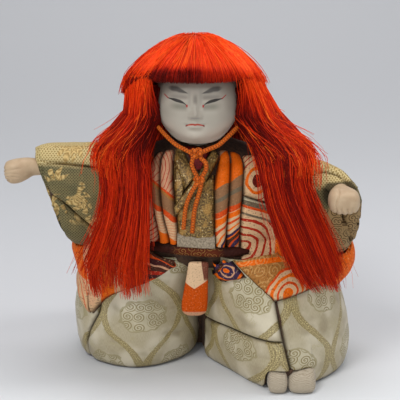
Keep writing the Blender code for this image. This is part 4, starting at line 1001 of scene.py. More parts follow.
cloth("inner_collar", RED_SILK, "front", [(-8.4, 126), (-5.2, 121), (-1.6, 116)],
      [(6.0, 125.4), (3.2, 121), (0.4, 116)], rolled="", pitch=1.0)
cloth("kimono_front_right", KIMONO, "front", [(-14.4, 119), (-14.5, 111), (-13.3, 100)],
      [(-11.4, 118), (-8.6, 108.5), (-11.2, 99)], rolled="a", pitch=0.9)
cloth("kimono_front_left", KIMONO, "front", [(-12.9, 95.4), (-12.4, 88), (-12.0, 80)],
      [(7.9, 115.0), (7.9, 98), (7.9, 80)], rolled="ab", puff=0.8, waves=[(-2, 88, 10, 1.0, 8, -0.4)])
cloth("kimono_collar_right", KIMONO, "front", [(-13.8, 124), (-13.8, 118), (-8.4, 106.5)],
      [(-9.0, 125.5), (-6, 120.5), (-1.6, 114)], rolled="ab", lift=2.0, pitch=0.8)
cloth("kimono_collar_left", KIMONO, "front", [(6.6, 125), (-0.5, 115.8), (-13.4, 99.4)],
      [(10.2, 120.6), (0.6, 106.7), (-12.8, 93.4)], rolled="ab", lift=3.0, pitch=0.8)
cloth("waist_sash", WHITE_SILK, "front", [(-12.0, 84.2), (-2, 83.4), (8.0, 82.9)],
      [(-12.0, 76.4), (-2, 75.6), (8, 75.2)], rolled="a", lift=1.6, pitch=0.9)

cloth("haori_collar_right_outer", COLLAR_R, "front", COLLAR_R1, COLLAR_R2, rolled="ab", puff=0.7)
cloth("haori_collar_right_inner", COLLAR_R, "front", COLLAR_R2, COLLAR_R3, rolled="ab", puff=0.7)
cloth("haori_collar_left_inner", COLLAR_L, "front", COLLAR_L1, COLLAR_L2, rolled="ab", puff=0.7)
cloth("haori_collar_left_outer", COLLAR_L, "front", COLLAR_L2, COLLAR_L3, rolled="ab", puff=0.7)
cloth("haori_body_right", BODY_R, "front", [(-48, 121), (-48, 100), (-47, 70)], COLLAR_R1, rolled="b")
cloth("haori_body_left", BODY_L, "front", [(22.6, 121.6), (23.9, 117), (23.4, 111), (23.6, 103.6)],
      [(50, 117), (50, 105), (50, 92.5)], rolled="ae", puff=0.7)
cloth("haori_body_left_lower", BODY_LL, "front", [(23.6, 103.6), (22.1, 92.4), (21.8, 67)],
      [(50, 92.5), (50, 80), (49.5, 66)], rolled="as", puff=1.0)
cloth("haori_back", BACK, "back", [(50, 116), (48, 95), (44, 62)], [(-50, 121), (-50, 100), (-46, 62)],
      rolled="", lift=1.0, pitch=1.8)
cloth("belt", BELT, "front", [(-26, 77.4), (-12, 77.0), (7.6, 76.0), (19, 74.6), (26, 72.4)],
      [(-26, 72.2), (-12, 71.2), (2.7, 70.4), (19, 69.8), (26, 70.6)],
      rolled="ab", lift=3.0, thick=1.2, pitch=0.8, pillow=0.6)

cloth("haori_skirt_back", BACK, "around", [(149, 66), (120, 66), (90, 66), (60, 66), (35, 65)],
      [(149, 45.5), (120, 45.5), (90, 45.5), (60, 45.5), (35, 45.5)], rolled="b", lift=4.0, thick=1.6, pitch=1.8)
cloth("haori_hem_right", HEM_R, "around", [(199, 69.5), (185, 69.5), (166, 69), (148, 68)],
      [(203.5, 31.5), (198, 36), (191, 40), (175, 43.5), (148, 47)], rolled="b", lift=3.0, thick=1.6)
cloth("haori_hem_left", HEM_L, "around", [(334.0, 69.5), (345, 70), (360, 70), (397, 68)],
      [(326, 51.5), (338, 50.0), (350, 49.5), (365, 48), (397, 45)], rolled="b", lift=2.8, thick=1.6)
cloth("haori_skirt_right", SKIRT_D, "around", [(247, 69.0), (235, 70.2), (222, 70.5), (208, 70), (196.5, 69.5)],
      [(244, 66), (236, 59.0), (228, 53.0), (212, 43.0), (204.8, 31.5)], rolled="b", lift=3.2, thick=1.6)
cloth("haori_skirt_left_outer", SKIRT_G, "front", [(19.0, 68.4), (27.4, 59.6), (39.8, 48.3)],
      [(50, 68.0), (58, 61), (66, 51.8)], rolled="abe", lift=3.4, thick=1.6, pitch=1.0)
cloth("haori_skirt_left_inner", SKIRT_N, "front", [(6.6, 67.4), (8.6, 59), (14.5, 54.0)],
      [(18.6, 68.2), (22.5, 64), (26.4, 59.6)], rolled="abe", lift=3.8, thick=1.4, pitch=0.9)

cloth("right_sleeve_edge", SLEEVE, "right rim",
      [(28, -11), (90, -11), (150, -9.5), (190, -7.5), (225, -8.5), (285, -11)],
      [(28, 16), (90, 15), (150, 12), (190, 11.5), (225, 12.5), (285, 15)], rolled="ab", lift=0.7, pitch=1.4)
cloth("right_sleeve_top", SLEEVE, "front", [(-88.4, 124.0), (-70, 125.2), (-44, 124.4)], TUBE_R, rolled="b",
      lift=1.1)
cloth("right_sleeve_front", SLEEVE, "front", TUBE_R, BAG_R, rolled="ab", puff=0.8,
      waves=[(-72, 108, 14, 2.2, -22, 0.8)])
cloth("right_sleeve_lower", SLEEVE, "front", BAG_R, [(-80.5, 92), (-77.0, 79.5), (-69.5, 73), (-57, 71)],
      rolled="a", puff=0.6)
cloth("right_sleeve_back", SLEEVE, "back", [(-44, 122), (-70, 123), (-88, 121)],
      [(-44, 70), (-60, 70), (-76, 78)], rolled="ab", lift=1.1, pitch=1.7)
cloth("left_sleeve_edge", SLEEVE, "left rim",
      [(-80, -15), (-46, -14), (-25, -12), (36, -13), (90, -17), (140, -19)],
      [(-80, 11), (-46, 10), (-25, 8), (36, 9), (90, 16), (140, 18)], rolled="ab", lift=0.7, pitch=1.4)
cloth("left_sleeve_top", SLEEVE, "front", [(46, 118.5), (59, 117.4), (69, 114.8), (82.5, 106.6)],
      [(46, 109.4), (58, 108.6), (65, 107.0), (74, 101.0)], rolled="", lift=1.1)
cloth("left_sleeve_front", SLEEVE, "front", [(48, 111.5), (48, 90), (48, 70)],
      [(70.5, 109), (69.4, 98), (66.4, 69.5)], rolled="")
cloth("left_sleeve_lower", SLEEVE, "front", [(68.0, 98), (68.0, 88), (66.0, 69.5)], BAG_L, rolled="b")
cloth("left_sleeve_cuff", SLEEVE, "front", BAG_L, [(86.8, 97), (87.0, 90), (87.0, 84), (86, 77)], rolled="a",
      pitch=1.0)
cloth("left_sleeve_rim", SLEEVE, "front", [(56, 112.6), (65, 115.4), (76, 112.6), (84.6, 104.0)],
      [(57, 110.4), (65.4, 112.6), (75, 109.8), (82.2, 102.6)],
      rolled="ab", lift=2.2, thick=1.4, pitch=0.7, pillow=0.5, nodes=["left_sleeve_top"])
cloth("left_sleeve_back", SLEEVE, "back", [(46, 115.5), (64, 113.5), (80, 106)], [(46, 70), (60, 70), (80, 74)],
      rolled="ab", lift=1.1, pitch=1.7)


# front tab, sock, core

def tab_cloth():
    m = Mat("tab_cloth", roughness=0.66, specular=0.1)
    u, v = m.x, m.z
    k = (u + 3.1).abs() * 0.75
    h = v - k
    color = m.mix(h.step(50.2, 50.8), srgb(196, 74, 0), srgb(220, 184, 146))
    side = (u + v * 0.12 - 8.6).step(0.0, 0.5) * v.step(55.0, 57.0)
    color = m.mix(side * 0.9, color, DARK_RED)
    m.color(speckled(m, m.mix(v.step(36.0, 34.8), color, PINK), u, v, 0.14))
    m.bump(weave(u, v, 1.1) + m.noise(0.8, 1.0), 0.12)
    return m.mat


TAB = [oval(*row) for row in (
    ((-0.8, -27.4, 67.3), (4.9, 0, 0), (0, 1.3, 0.2), 2.6),
    ((-0.9, -26.4, 65.7), (5.5, 0, 0), (0, 2.0, 0.4), 2.6),
    ((-1.4, -23.2, 58.8), (5.9, 0, 0), (0, 2.3, 0.6), 2.6),
    ((-2.2, -20.2, 49.4), (6.6, 0, 0), (0, 2.5, 0.6), 2.6),
    ((-3.0, -17.7, 40), (7.2, 0, 0), (0, 2.6, 0.5), 2.6),
    ((-3.2, -16.5, 35), (6.6, 0, 0), (0, 2.3, 0.4), 2.4),
    ((-3.3, -16.1, 32.9), (4.4, 0, 0), (0, 1.4, 0.2), 2.2),
)]
tab = make_skin("front_tab_cloth", TAB, 72, 70, tab_cloth())
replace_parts(tab, "front_tab")


def crepe():
    m = Mat("tabi_crepe", roughness=0.8, sheen=0.2)
    fold = ((m.z * 8.0 + m.noise(5.0, 2.0) * 26.0).sin() * 0.5 + 0.5) * 0.6 + m.noise(1.2, 2.0) * 0.6
    # paler on the crests of the crinkles and darker in their troughs: painted shade
    m.color(m.mix(fold.step(0.15, 0.85), srgb(156, 142, 120), srgb(182, 169, 148)))
    m.bump(fold, 0.16)
    return m.mat


def toe(x, half, tall):
    return [
        flat_oval(x, -38.4, 0.0, half - 0.6, 9.6, 3.2), flat_oval(x, -38.6, tall * 0.21, half, 10.4, 3.2),
        flat_oval(x, -38.2, tall * 0.58, half, 10.1, 3.0), flat_oval(x, -37.4, tall * 0.87, half - 0.7, 8.8, 2.8),
        flat_oval(x, -37, tall, half * 0.6, 5.4)]


CREPE = crepe()
for name, x, half, tall in (("tabi_big_toe", 42.2, 5.6, 12.0), ("tabi_toes", 55.3, 7.8, 10.9)):
    piece = make_skin(name + "_crepe", toe(x, half, tall), 64, 40, CREPE)
    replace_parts(piece, name)

# the paste is painted darker than its own tan so that where it shows, between panels and at the neck, it reads as
# groove shade; its crumb is also darker in the hollows of its bump: paste colour and painted shade
paste = Mat("moulded_paste", roughness=0.9)
crumb = paste.noise(1.8, 4.0)
paste.color(paste.mix(crumb.step(0.35, 0.7), srgb(56, 36, 24), srgb(82, 56, 38)))
paste.bump(crumb, 0.25)
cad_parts["body_core"].data.materials.clear()
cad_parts["body_core"].data.materials.append(paste.mat)


# head

FACE_X = -2.6
HEAD = [flat_oval(*row) for row in (
    (-1.2, -4.5, 130.2, 5.8, 8.0), (-1.2, -5.0, 131.6, 11.8, 14.6),
    (-1.2, -5.0, 137, 17.3, 19.4), (-1.2, -4.8, 144, 21.3, 22.4),
    (-1.2, -4.0, 153, 22.4, 23.2), (-1.2, -3.5, 163, 21.2, 22.6),
    (-1.2, -3.0, 171, 17, 19), (-1.2, -2.4, 176.5, 9.5, 11),
    (-1.2, -2.2, 178.2, 3, 3.5),
)]


# swellings of the face: distance from its middle, height, two half widths, relief; the paired ones lie on both sides
SWELLINGS = [(0, 148.3, 2.1, 1.9, 2.2), (0, 153.0, 1.6, 5.0, 1.5), (0, 143.9, 3.6, 0.8, 0.75),
             (0, 141.6, 3.0, 0.9, 0.65), (0, 142.8, 4.2, 0.35, -0.35), (0, 139.4, 4.2, 1.1, -0.7), (0, 135.6, 5.0, 2.6, 0.9),
             (0, 145.6, 0.8, 1.0, -0.25)]
PAIRED = [(2.7, 147.4, 1.3, 1.3, 0.9), (8.3, 157.2, 4.8, 2.6, -1.3), (8.3, 155.6, 4.4, 1.3, 0.45),
          (8.0, 161.9, 6.5, 2.0, 0.7), (11.5, 147, 5.5, 6, 0.7), (4.6, 141.8, 1.5, 1.5, -0.35)]


def face_relief(x, z):
    spots = SWELLINGS + [(side * spot[0],) + spot[1:] for side in (-1, 1) for spot in PAIRED]
    return sum(height * np.exp(-((x - (FACE_X + dx)) / wx) ** 2 - ((z - cz) / wz) ** 2)
               for dx, cz, wx, wz, height in spots)


def skin_white():
    m = Mat("shell_white", roughness=0.5, specular=0.35)
    x, z = m.x - FACE_X, m.z
    front = m.y.step(-4.0, -10.0)
    a = x.abs()
    tone = m.mix(m.noise(14.0, 2.0).step(0.3, 0.7), srgb(162, 154, 141), srgb(170, 162, 149))
    # darker towards the hairline: painted shadow of the fringe on the forehead
    tone = m.mix(z.step(153.5, 165.0) * 0.62, tone, srgb(112, 100, 90))
    # lighter towards the chin and lower cheeks: painted light
    tone = m.mix((z + a * -0.25).step(146.0, 131.0) * 0.9, tone, srgb(206, 196, 180))
    # brows: broad soft grey strokes rising outwards
    line = (a - 3.8) * 0.34 + 159.5 - (a - 9.5).high(0.0) * 0.30
    width = a.step(3.2, 9.0) * a.step(15.5, 11.5) * 1.35 + 0.25
    brow = z.near(line, width, 1.25, 0.45) * a.step(3.0, 4.8) * a.step(15.0, 12.0)
    tone = m.mix(brow * 0.92, tone, srgb(72, 66, 62))
    # shade of the sockets, beside the bridge, under the eyes, and the frown
    socket = z.near(157.2, 1.6, 1.2, 0.0) * a.step(3.0, 5.0) * a.step(15.0, 11.0)
    bridge = a.near(3.0, 1.6, 1.0, 0.0) * z.step(151.0, 155.0) * z.step(164.0, 159.0)
    below = z.near(152.4, 3.2, 1.0, 0.0) * a.step(3.4, 5.2) * a.step(15.6, 9.0)
    frown = (a / 1.7).step(1.1, 0.0) * z.step(153.0, 155.8) * z.step(160.5, 157.0)
    for mask, amount, shade in ((socket, 0.48, (104, 96, 90)), (bridge, 0.30, (112, 106, 102)),
                                (below, 0.66, (104, 102, 88)), (frown, 0.60, (84, 76, 70))):
        tone = m.mix(mask * amount, tone, srgb(*shade))
    # eyelids: a dark, nearly closed line with red corners
    lid = 153.8 + a * 0.17 - ((4.2 - a) / 1.2).op("EXPONENT") * 2.0
    open_w = a.step(4.8, 8.0) * a.step(14.0, 10.0) * 0.50 + 0.28
    on = a.step(4.0, 4.5) * a.step(15.0, 14.3)
    dark = z.near(lid, open_w, 1.25, 0.75) * on
    tone = m.mix(dark * 0.95, tone, srgb(34, 30, 30))
    out_red = z.near(lid + (a - 14.2) * 0.60, 0.36, 1.2, 0.6) * a.step(13.7, 14.4) * a.step(16.6, 16.1)
    in_red = z.near(152.9, 0.75, 1.1, 0.7) * a.step(3.7, 4.0) * a.step(4.9, 4.5)
    tone = m.mix(out_red.high(in_red) * 0.95, tone, srgb(160, 20, 20))
    # mouth: one thin red line, corners down
    lip = 143.3 - (a * a) * 0.046 - (a / 1.3).step(1.0, 0.0) * 0.32
    thick = a.step(4.9, 1.6) * 0.26 + a.step(3.6, 4.6) * 0.26 + 0.30
    mouth = z.near(lip, thick, 1.2, 0.6) * a.step(5.2, 4.8)
    tone = m.mix(mouth * 0.94, tone, m.mix(a.step(3.4, 4.6), srgb(186, 52, 30), srgb(110, 18, 16)))
    # a faint grey mark just under the nose tip: painted shade
    tone = m.mix(z.near(146.7, 0.8, 1.0, 0.2) * a.step(3.0, 1.4) * 0.35, tone, srgb(120, 118, 124))
    m.color(m.mix(front, srgb(168, 160, 147), tone))
    m.bump(m.noise(0.7, 2.0), 0.02)
    return m.mat


def front_dense(ring, count):
    dense = closed_curve(ring, 720)
    s = np.linspace(-1, 1, count, endpoint=False)
    turn = 270 + 180 * (0.40 * s + 0.60 * s * np.abs(s))
    return dense[np.round(turn * 2).astype(int) % 720]


levels = np.unique(np.concatenate([np.linspace(0, 0.3, 24), np.linspace(0.3, 0.62, 110), np.linspace(0.62, 1, 26)]))
head_grid = curve_at(np.array([front_dense(r, 190) for r in HEAD]), levels)
relief = face_relief(head_grid[..., 0], head_grid[..., 2])
head_grid[..., 1] -= relief * np.clip((-8 - head_grid[..., 1]) / 4, 0, 1)
WHITE = skin_white()
head = make("head_shell", head_grid, skin_faces(190, len(levels)), WHITE)
neck_rings = [flat_oval(-1, 6.2, 116, 7.6, 7.6), flat_oval(-1, 6.0, 117.5, 8.2, 8.2), flat_oval(-1, 4, 130, 8.2, 8.2),
              flat_oval(-1, 2.5, 138, 8.2, 8.2)]
make_skin("neck_peg", neck_rings, 48, 20, WHITE)
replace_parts(head, "head")


# hair

def crown_ring(cx, cy, z, rx, ry, front_lift=0.0, n=24):
    out = []
    for k in range(n):
        t = 2 * math.pi * k / n
        front = max(0.0, -math.sin(t))
        out.append((cx + rx*math.cos(t), cy + ry*math.sin(t), z + front_lift * front**1.5))
    return out


FALL_TOP = 160.65


# the under volumes are a deep red, darker than the strands and darker still in low streaks and patches, so the gaps
# between locks read dark: hair colour and painted shade
hair = Mat("hair_under", roughness=0.6, specular=0.2)
streak = hair.noise(1.3, 2.0, hair.join(hair.x, hair.y, hair.z * 0.10))
wide = hair.noise(9.0, 1.0, hair.join(hair.x, hair.y, hair.z * 0.25))
color = hair.mix(streak.step(0.34, 0.66), srgb(120, 14, 6), srgb(164, 26, 8))
hair.color(hair.mix(wide.step(0.50, 0.34) * 0.55, color, srgb(76, 8, 4)))
hair.bump(streak, 0.25)
UNDER = hair.mat

# u of a strand is its tone, from deep to bright
strand = Mat("hair_strands", roughness=0.55, specular=0.12)
strand.color(strand.ramp(strand.uv()[0], [
    (0.0, srgb(88, 8, 3)), (0.15, srgb(128, 14, 4)), (0.35, srgb(174, 29, 4)), (0.60, srgb(222, 50, 6)),
    (0.82, srgb(244, 74, 12)), (1.0, srgb(254, 112, 32))]))
STRAND = strand.mat


def section(ring, a, b):
    # A point of a bundle section: a and b run from -1 to 1 over its two widths.
    x, y, z, rx, ry, yaw = ring
    c, s = math.cos(math.radians(yaw)), math.sin(math.radians(yaw))
    p, q = rx * a, ry * b
    return np.stack([x + p*c - q*s, y + p*s + q*c, np.full_like(p, z)], axis=-1)


def under_volume(name, rings, shrink, around=72, along=60):
    t = np.linspace(0, 2 * math.pi, around, endpoint=False)
    grid = np.array([section(r, np.cos(t) * shrink, np.sin(t) * shrink) for r in rings])
    fine = curve_at(grid, np.linspace(0, 1, along))
    comb = np.sin(t * 23) * 0.30 + np.sin(t * 41 + 1.0) * 0.2
    fine = fine + unit(fine - fine.mean(axis=1, keepdims=True)) * comb[None, :, None]
    return make(name, fine, skin_faces(around, along), UNDER)


def strand_piece(name, path, rad, tone, along):
    # tone, from 0 (deep) to 1 (bright), is one value a strand or one a point.
    pts, faces = tube_mesh(path, rad)
    n, k = path.shape[:2]
    if tone.ndim == 1:
        tone = tone[:, None]
    uv = np.stack([np.clip(np.broadcast_to(tone, (n, k)), 0, 1), along], axis=-1)
    return make(name, pts, faces, STRAND, np.repeat(uv.reshape(-1, 2), 3, axis=0))


def fringe_ring(drop=0.0, pull=0.0, n=24):
    # Lower end of the short hair: higher over the forehead, lower at the sides.
    out = []
    for k in range(n):
        t = 2 * math.pi * k / n
        c, s = math.cos(t), math.sin(t)
        f = min(1.0, max(0.0, (-s - 0.1) / 0.6))
        side = 156.0 if c < 0 else 159.0
        deep = 30.5 if s < 0 else 35.5
        out.append((-3.5 + (37.2 - pull) * c, 2 + (deep - pull) * s, side * (1 - f) + 165.6 * f - drop))
    return out


COMB = [
    crown_ring(-2.4, 4, 186.8, 1.5, 1.5), crown_ring(-2.4, 4, 185.6, 9, 11), crown_ring(-2.6, 4, 182.0, 17.4, 19.4),
    crown_ring(-2.8, 3, 176.8, 25.4, 27.0, 1.0), crown_ring(-3, 3, 170.8, 31.4, 32.6, 3.8),
    crown_ring(-3.4, 2.4, 165.0, 35.6, 35.2, 5.6), fringe_ring(), fringe_ring(2.0, 2.5),
]
COMB_SURFACE = curve_at(np.array([closed_curve(r, 360) for r in COMB]), np.linspace(0, 1, 240))


def on_crown(turn, t):
    # turn in degrees about the head, t from 0 at the top to 1 below the fringe.
    turn = turn % 360
    row = np.clip((t * 239).astype(int), 0, 238)
    f = (t * 239 - row)[..., None]
    col = np.floor(turn).astype(int) % 360
    g = (turn - np.floor(turn))[..., None]
    nxt = (col + 1) % 360
    near = COMB_SURFACE[row, col] * (1 - g) + COMB_SURFACE[row, nxt] * g
    far = COMB_SURFACE[row + 1, col] * (1 - g) + COMB_SURFACE[row + 1, nxt] * g
    return near * (1 - f) + far * f


def lifted(path, lift):
    return path + unit(path - np.array([-2.5, 3.0, 160.0])) * lift[..., None]


# the falls as the combed hair hangs, a little inside or outside the plain bundles
HANG = {
    "hair_right_fall": [
        (-27, -1, FALL_TOP, 10, 17.5, 0), (-29.0, -1.6, 150, 10.4, 18.6, 0),
        (-33.4, -4, 140, 12.6, 17.6, 0), (-40.0, -11.5, 131, 14.8, 13.0, 0),
        (-41.2, -21.0, 123, 13.6, 7.2, 0), (-39.6, -26, 113, 12.0, 6, 0),
        (-40.0, -30.5, 100, 11.8, 5.5, 0), (-42.6, -31.5, 84, 13.2, 5, 0),
        (-47, -31.5, 68, 16, 4.5, 0), (-46, -31, 54, 15.5, 4, 0), (-44.5, -31, 45.5, 14.5, 3, 0)],
    "hair_left_fall": [
        (24.0, -1, FALL_TOP, 10.4, 17.5, 0), (28.2, -1.8, 150, 12.6, 18.6, 0),
        (34.0, -4.4, 140, 14.0, 17.4, 0), (42.4, -12, 131, 15.6, 13, 0),
        (45.4, -21.6, 123, 14.2, 7.2, 0), (45.2, -27.5, 113, 11.4, 5.8, 0),
        (49.0, -31, 100, 11.6, 5.4, 4), (55.4, -34, 84, 11.6, 5, 10),
        (61.6, -38.2, 68, 12.0, 4.5, 20), (66.2, -38.8, 59, 10.2, 4, 24),
        (68.4, -38, 53.0, 7.8, 3, 24)],
    "hair_back_fall": [
        (-3, 25.5, FALL_TOP, 30, 13, 0), (-2.5, 31, 146, 37, 13.2, 0), (-1, 42.4, 130, 42, 11, 0),
        (0, 54.6, 110, 45, 8, 0), (1, 59, 90, 46, 7, 0), (2, 66, 70, 47, 6, 0),
        (3, 73, 50, 46, 5.5, 0), (4, 77, 30, 44, 5, 0), (4, 78, 20, 41, 4, 0)],
}


def hang_at(rings, t, a, b):
    # Points of a fall: t (n, k) down its length, a and b (n, k) across its section.
    k = curve_at(np.array(rings, float), t.ravel()).reshape(*t.shape, 6)
    c, s = np.cos(np.radians(k[..., 5])), np.sin(np.radians(k[..., 5]))
    p, q = k[..., 3] * a, k[..., 4] * b
    return np.stack([k[..., 0] + p*c - q*s, k[..., 1] + p*s + q*c, k[..., 2]], axis=-1)


def smooth(x, a, b):
    w = np.clip((x - a) / (b - a), 0, 1)
    return w * w * (3 - 2 * w)


def lock_seats(g, locks, split):
    # Places of the locks in a section; split opens a thinner gap across the bundle.
    la = g.uniform(-1, 1, locks)
    if split is not None:
        lo, hi, keep = split
        gap = (la > lo) & (la < hi) & (g.uniform(0, 1, locks) > keep)
        moved = np.where(la < (lo + hi) / 2, lo - g.uniform(0, 0.2, locks), hi + g.uniform(0, 0.3, locks))
        la = np.where(gap, moved, la)
    lb = g.uniform(-1, 1, locks) * np.sqrt(np.clip(1 - la ** 2, 0.05, 1))
    return la, lb


def fall_strands(name, rings, count, seed, locks=56, steps=13, over=0.55, thick=0.19, ends=(0.78, 1.0), clump=0.56,
                 split=None, flick=0.0, tone=(0.0, 0.75), tip=0.0, fly=0.05, wander=0.13):
    # Strands of one fall; a share called over starts on the crown and runs over its edge.
    g = np.random.default_rng(seed)
    la, lb = lock_seats(g, locks, split)
    turn0 = g.uniform(0, 2 * math.pi, count)
    radius = np.sqrt(g.uniform(0.15, 1.0, count))
    over_it = g.uniform(0, 1, count) < over
    radius = np.where(over_it, g.uniform(0.86, 1.04, count), radius)
    a, b = radius * np.cos(turn0), radius * np.sin(turn0)
    near = np.argmin((a[:, None] - la[None]) ** 2 + 0.5 * (b[:, None] - lb[None]) ** 2, axis=1)
    end = ends[0] + (ends[1] - ends[0]) * g.uniform(0, 1, locks)[near] - np.abs(g.normal(0, 0.065, count))
    q = np.linspace(0, 1, 9)[None]
    t = 0.10 + (end[:, None] - 0.10) * q
    pull = clump * smooth(q, 0.12, 0.80) * g.uniform(0.5, 1.15, count)[:, None]
    sway = (g.normal(0, 0.14, locks)[near])[:, None] * smooth(q, 0.4, 1.0)
    loose = g.uniform(0, 1, count) < fly
    drift = (g.normal(0, wander, count) + loose * g.normal(0, 0.35, count))[:, None] * q ** 1.5
    lift = (g.normal(0, 0.13, count) + loose * g.normal(0, 0.5, count))[:, None] * q ** 1.5
    pa = a[:, None] * (1 - pull) + la[near][:, None] * pull + sway + drift
    pb = b[:, None] * (1 - pull) + lb[near][:, None] * pull + lift
    hang = hang_at(rings, t, pa, pb)
    if flick:
        way = np.sign(rings[3][0])
        jump = g.uniform(0.2, 1.0, locks)[near][:, None] * smooth(q, 0.45, 1.0) * flick
        hang[..., 0] += way * jump
        hang[..., 2] += jump * g.uniform(-0.3, 0.35, count)[:, None]
        hang[..., 1] -= jump * 0.25
    first = hang_at(rings, np.full((count, 1), 0.10), a[:, None], b[:, None])[:, 0]
    turn = np.degrees(np.arctan2(first[:, 1] - 3.0, first[:, 0] + 3.0)) + g.normal(0, 4.0, count)
    start = g.uniform(0.12, 0.55, count)
    s = start[:, None] + (0.80 - start)[:, None] * np.linspace(0, 1, 5)[None]
    top = lifted(on_crown(turn[:, None] + np.zeros((1, 5)), s), g.uniform(0.1, 1.3, count)[:, None] * np.ones((1, 5)))
    start_t = 0.002 + np.zeros((count, 5)) + np.linspace(0, 0.08, 5)[None]
    under = hang_at(rings, start_t, a[:, None] * 0.9, b[:, None] * 0.9)
    head_part = np.where(over_it[:, None, None], top, under)
    ctrl = np.concatenate([head_part, hang], axis=1).transpose(1, 0, 2)
    path = curve_at(ctrl, np.linspace(0, 1, steps)).transpose(1, 0, 2)
    run = np.linspace(0, 1, steps)[None]
    for axis, size, slow, fast in ((0, 1.5, 3, 8), (1, 0.8, 3, 8), (0, 0.38, 12, 19), (1, 0.3, 12, 19)):
        wave = np.sin(run * g.uniform(slow, fast, (count, 1)) + g.uniform(0, 2 * math.pi, (count, 1)))
        path[..., axis] += wave * size * run * g.uniform(0.2, 1, (count, 1))
    rad = thick * (1 - 0.5 * np.linspace(0, 1, steps)[None] ** 3) * g.uniform(0.8, 1.15, count)[:, None]
    k = g.uniform(0, 1, locks)[near] * 0.35 + g.uniform(0, 1, count) * 0.65
    shade = tone[0] + (tone[1] - tone[0]) * np.clip((k - 0.2) / 0.6, 0, 1)
    # the side towards the face lies in the shade of the brim
    way = np.sign(rings[3][0]) if abs(rings[3][0]) > 10 else 0.0
    inner = way * (first[:, 0].mean() - first[:, 0]) / 9.0 - (0.0 if way else 1.0)
    # painted light and shade near the top: strands that run over the crown are lighter, those under it darker; tip
    # lightens the ends; on the crown, strands that run over it take a tone between 0.55 and 0.95
    shade = shade[:, None] + np.where(over_it, 0.16, -0.18)[:, None] * smooth(run, 0.5, 0.15)
    shade = shade + tip * smooth(run, 0.7, 1.0)
    shade = shade - (0.62 * smooth(inner, -0.1, 0.55))[:, None] * smooth(run, 0.70, 0.42)
    on_top = over_it[:, None] * smooth(run, 0.42, 0.30)
    shade = shade * (1 - on_top) + g.uniform(0.55, 0.95, count)[:, None] * on_top
    return strand_piece(name, path, rad, shade, run + np.zeros((count, 1)))


def crown_strands(name, count, seed, steps=10):
    g = np.random.default_rng(seed)
    azim = np.degrees(g.uniform(0, 2 * math.pi, count))
    front = np.clip((-np.sin(np.radians(azim)) - 0.1) / 0.5, 0, 1)
    start = g.uniform(0.0, 0.4, count)
    end = 0.875 + g.normal(0, 1, count) * (0.024 + 0.022 * (1 - front))
    end -= 0.055 * smooth(np.cos(np.radians(azim)), 0.45, 0.9)
    run = 1 - (1 - np.linspace(0, 1, steps)[None]) ** 1.35
    t = np.clip(start[:, None] + (end - start)[:, None] * run, 0, 1)
    turn = azim[:, None] + g.normal(0, 3.0, count)[:, None] * run
    lift = g.exponential(0.55, count)
    stray = g.uniform(0, 1, count) < 0.05
    lift = np.minimum(lift, 1.8) + stray * g.uniform(0.6, 2.4, count)
    away = (1 - front) * g.uniform(0, 1, count) * 1.5
    path = lifted(on_crown(turn, t), lift[:, None] * (0.25 + 0.75 * run) + away[:, None] * smooth(run, 0.8, 1.0))
    rad = 0.20 * (1 - 0.4 * run ** 4) * np.ones((count, 1))
    shade = 0.52 + 0.40 * g.uniform(0, 1, count)
    left = np.clip((-np.cos(np.radians(azim)) + 0.55) / 0.6, 0.45, 1)
    # painted shade under the fringe: front strands darken near its lower edge, most on the side towards negative x,
    # and every strand darkens at its end
    shade = shade[:, None] - 0.62 * (front * left)[:, None] * smooth(t, 0.57, 0.69) - 0.20 * smooth(t, 0.80, 0.9)
    return strand_piece(name, path, rad, shade, t)


# a core thins out to its lower end, so the lower half of a side bundle is open strands
for name, shrink, lowest, foot, rise, least_x, least_y in (
    ("hair_right_fall", 0.60, 62, 62, 58, 0.10, 0.25), ("hair_left_fall", 0.60, 62, 62, 58, 0.10, 0.25),
    ("hair_back_fall", 0.84, 24, 16, 30, 0.3, 0.3),
):
    narrow = [(x, y, z, rx * min(1.0, max(least_x, (z - foot) / rise)),
               ry * min(1.0, max(least_y, (z - foot) / rise)), yaw)
              for x, y, z, rx, ry, yaw in HANG[name] if z > lowest]
    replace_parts(under_volume(name + "_under", narrow, shrink), name)
fall_strands("hair_right_long", HANG["hair_right_fall"], 1250, 31, locks=44, clump=0.70, split=(-0.50, 0.15, 0.1),
             ends=(0.72, 1.0), tone=(0.10, 0.56), tip=0.24)
fall_strands("hair_right_short", HANG["hair_right_fall"], 750, 32, locks=34, steps=10, over=0.85, ends=(0.28, 0.50),
             flick=5.0, tone=(0.40, 0.95), fly=0.10)
fall_strands("hair_left_long", HANG["hair_left_fall"], 1450, 33, clump=0.62, tone=(0.0, 0.42), tip=0.16,
             ends=(0.78, 0.98))
fall_strands("hair_left_short", HANG["hair_left_fall"], 750, 34, locks=34, steps=10, over=0.85, ends=(0.30, 0.56),
             flick=6.5, tone=(0.40, 1.0), fly=0.10)
for name, ring, seed in (("hair_right_fine", "hair_right_fall", 41), ("hair_left_fine", "hair_left_fall", 42)):
    fall_strands(name, HANG[ring], 380, seed, locks=90, over=1.0, thick=0.12, clump=0.18, tone=(0.22, 0.78), fly=0.14,
                 wander=0.22, ends=(0.55, 1.0))
fall_strands("hair_back_long", HANG["hair_back_fall"], 1700, 35, locks=90, steps=11, over=0.7, tone=(0.15, 0.85),
             ends=(0.9, 1.0))

bottom = [crown_ring(-3, 2, 168.5, 17, 17, 1.0), fringe_ring(-1.5, 8.0)]
crown_rings = bottom + [[(-3 + (x + 3) * 0.97, 3 + (y - 3) * 0.97, z - 0.3) for x, y, z in r] for r in COMB[6::-1]]
crown = make_skin("hair_crown_under", crown_rings, 120, 64, UNDER)
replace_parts(crown, "hair_crown")
crown_strands("hair_crown_strands", 2500, 21)


# hands

def x_oval(x, y, z, ry, rz, power=2.0):
    return oval((x, y, z), (0, 0, rz), (0, ry, 0), power)


def y_oval(x, y, z, rx, rz, power=2.0):
    return oval((x, y, z), (rx, 0, 0), (0, 0, rz), power)


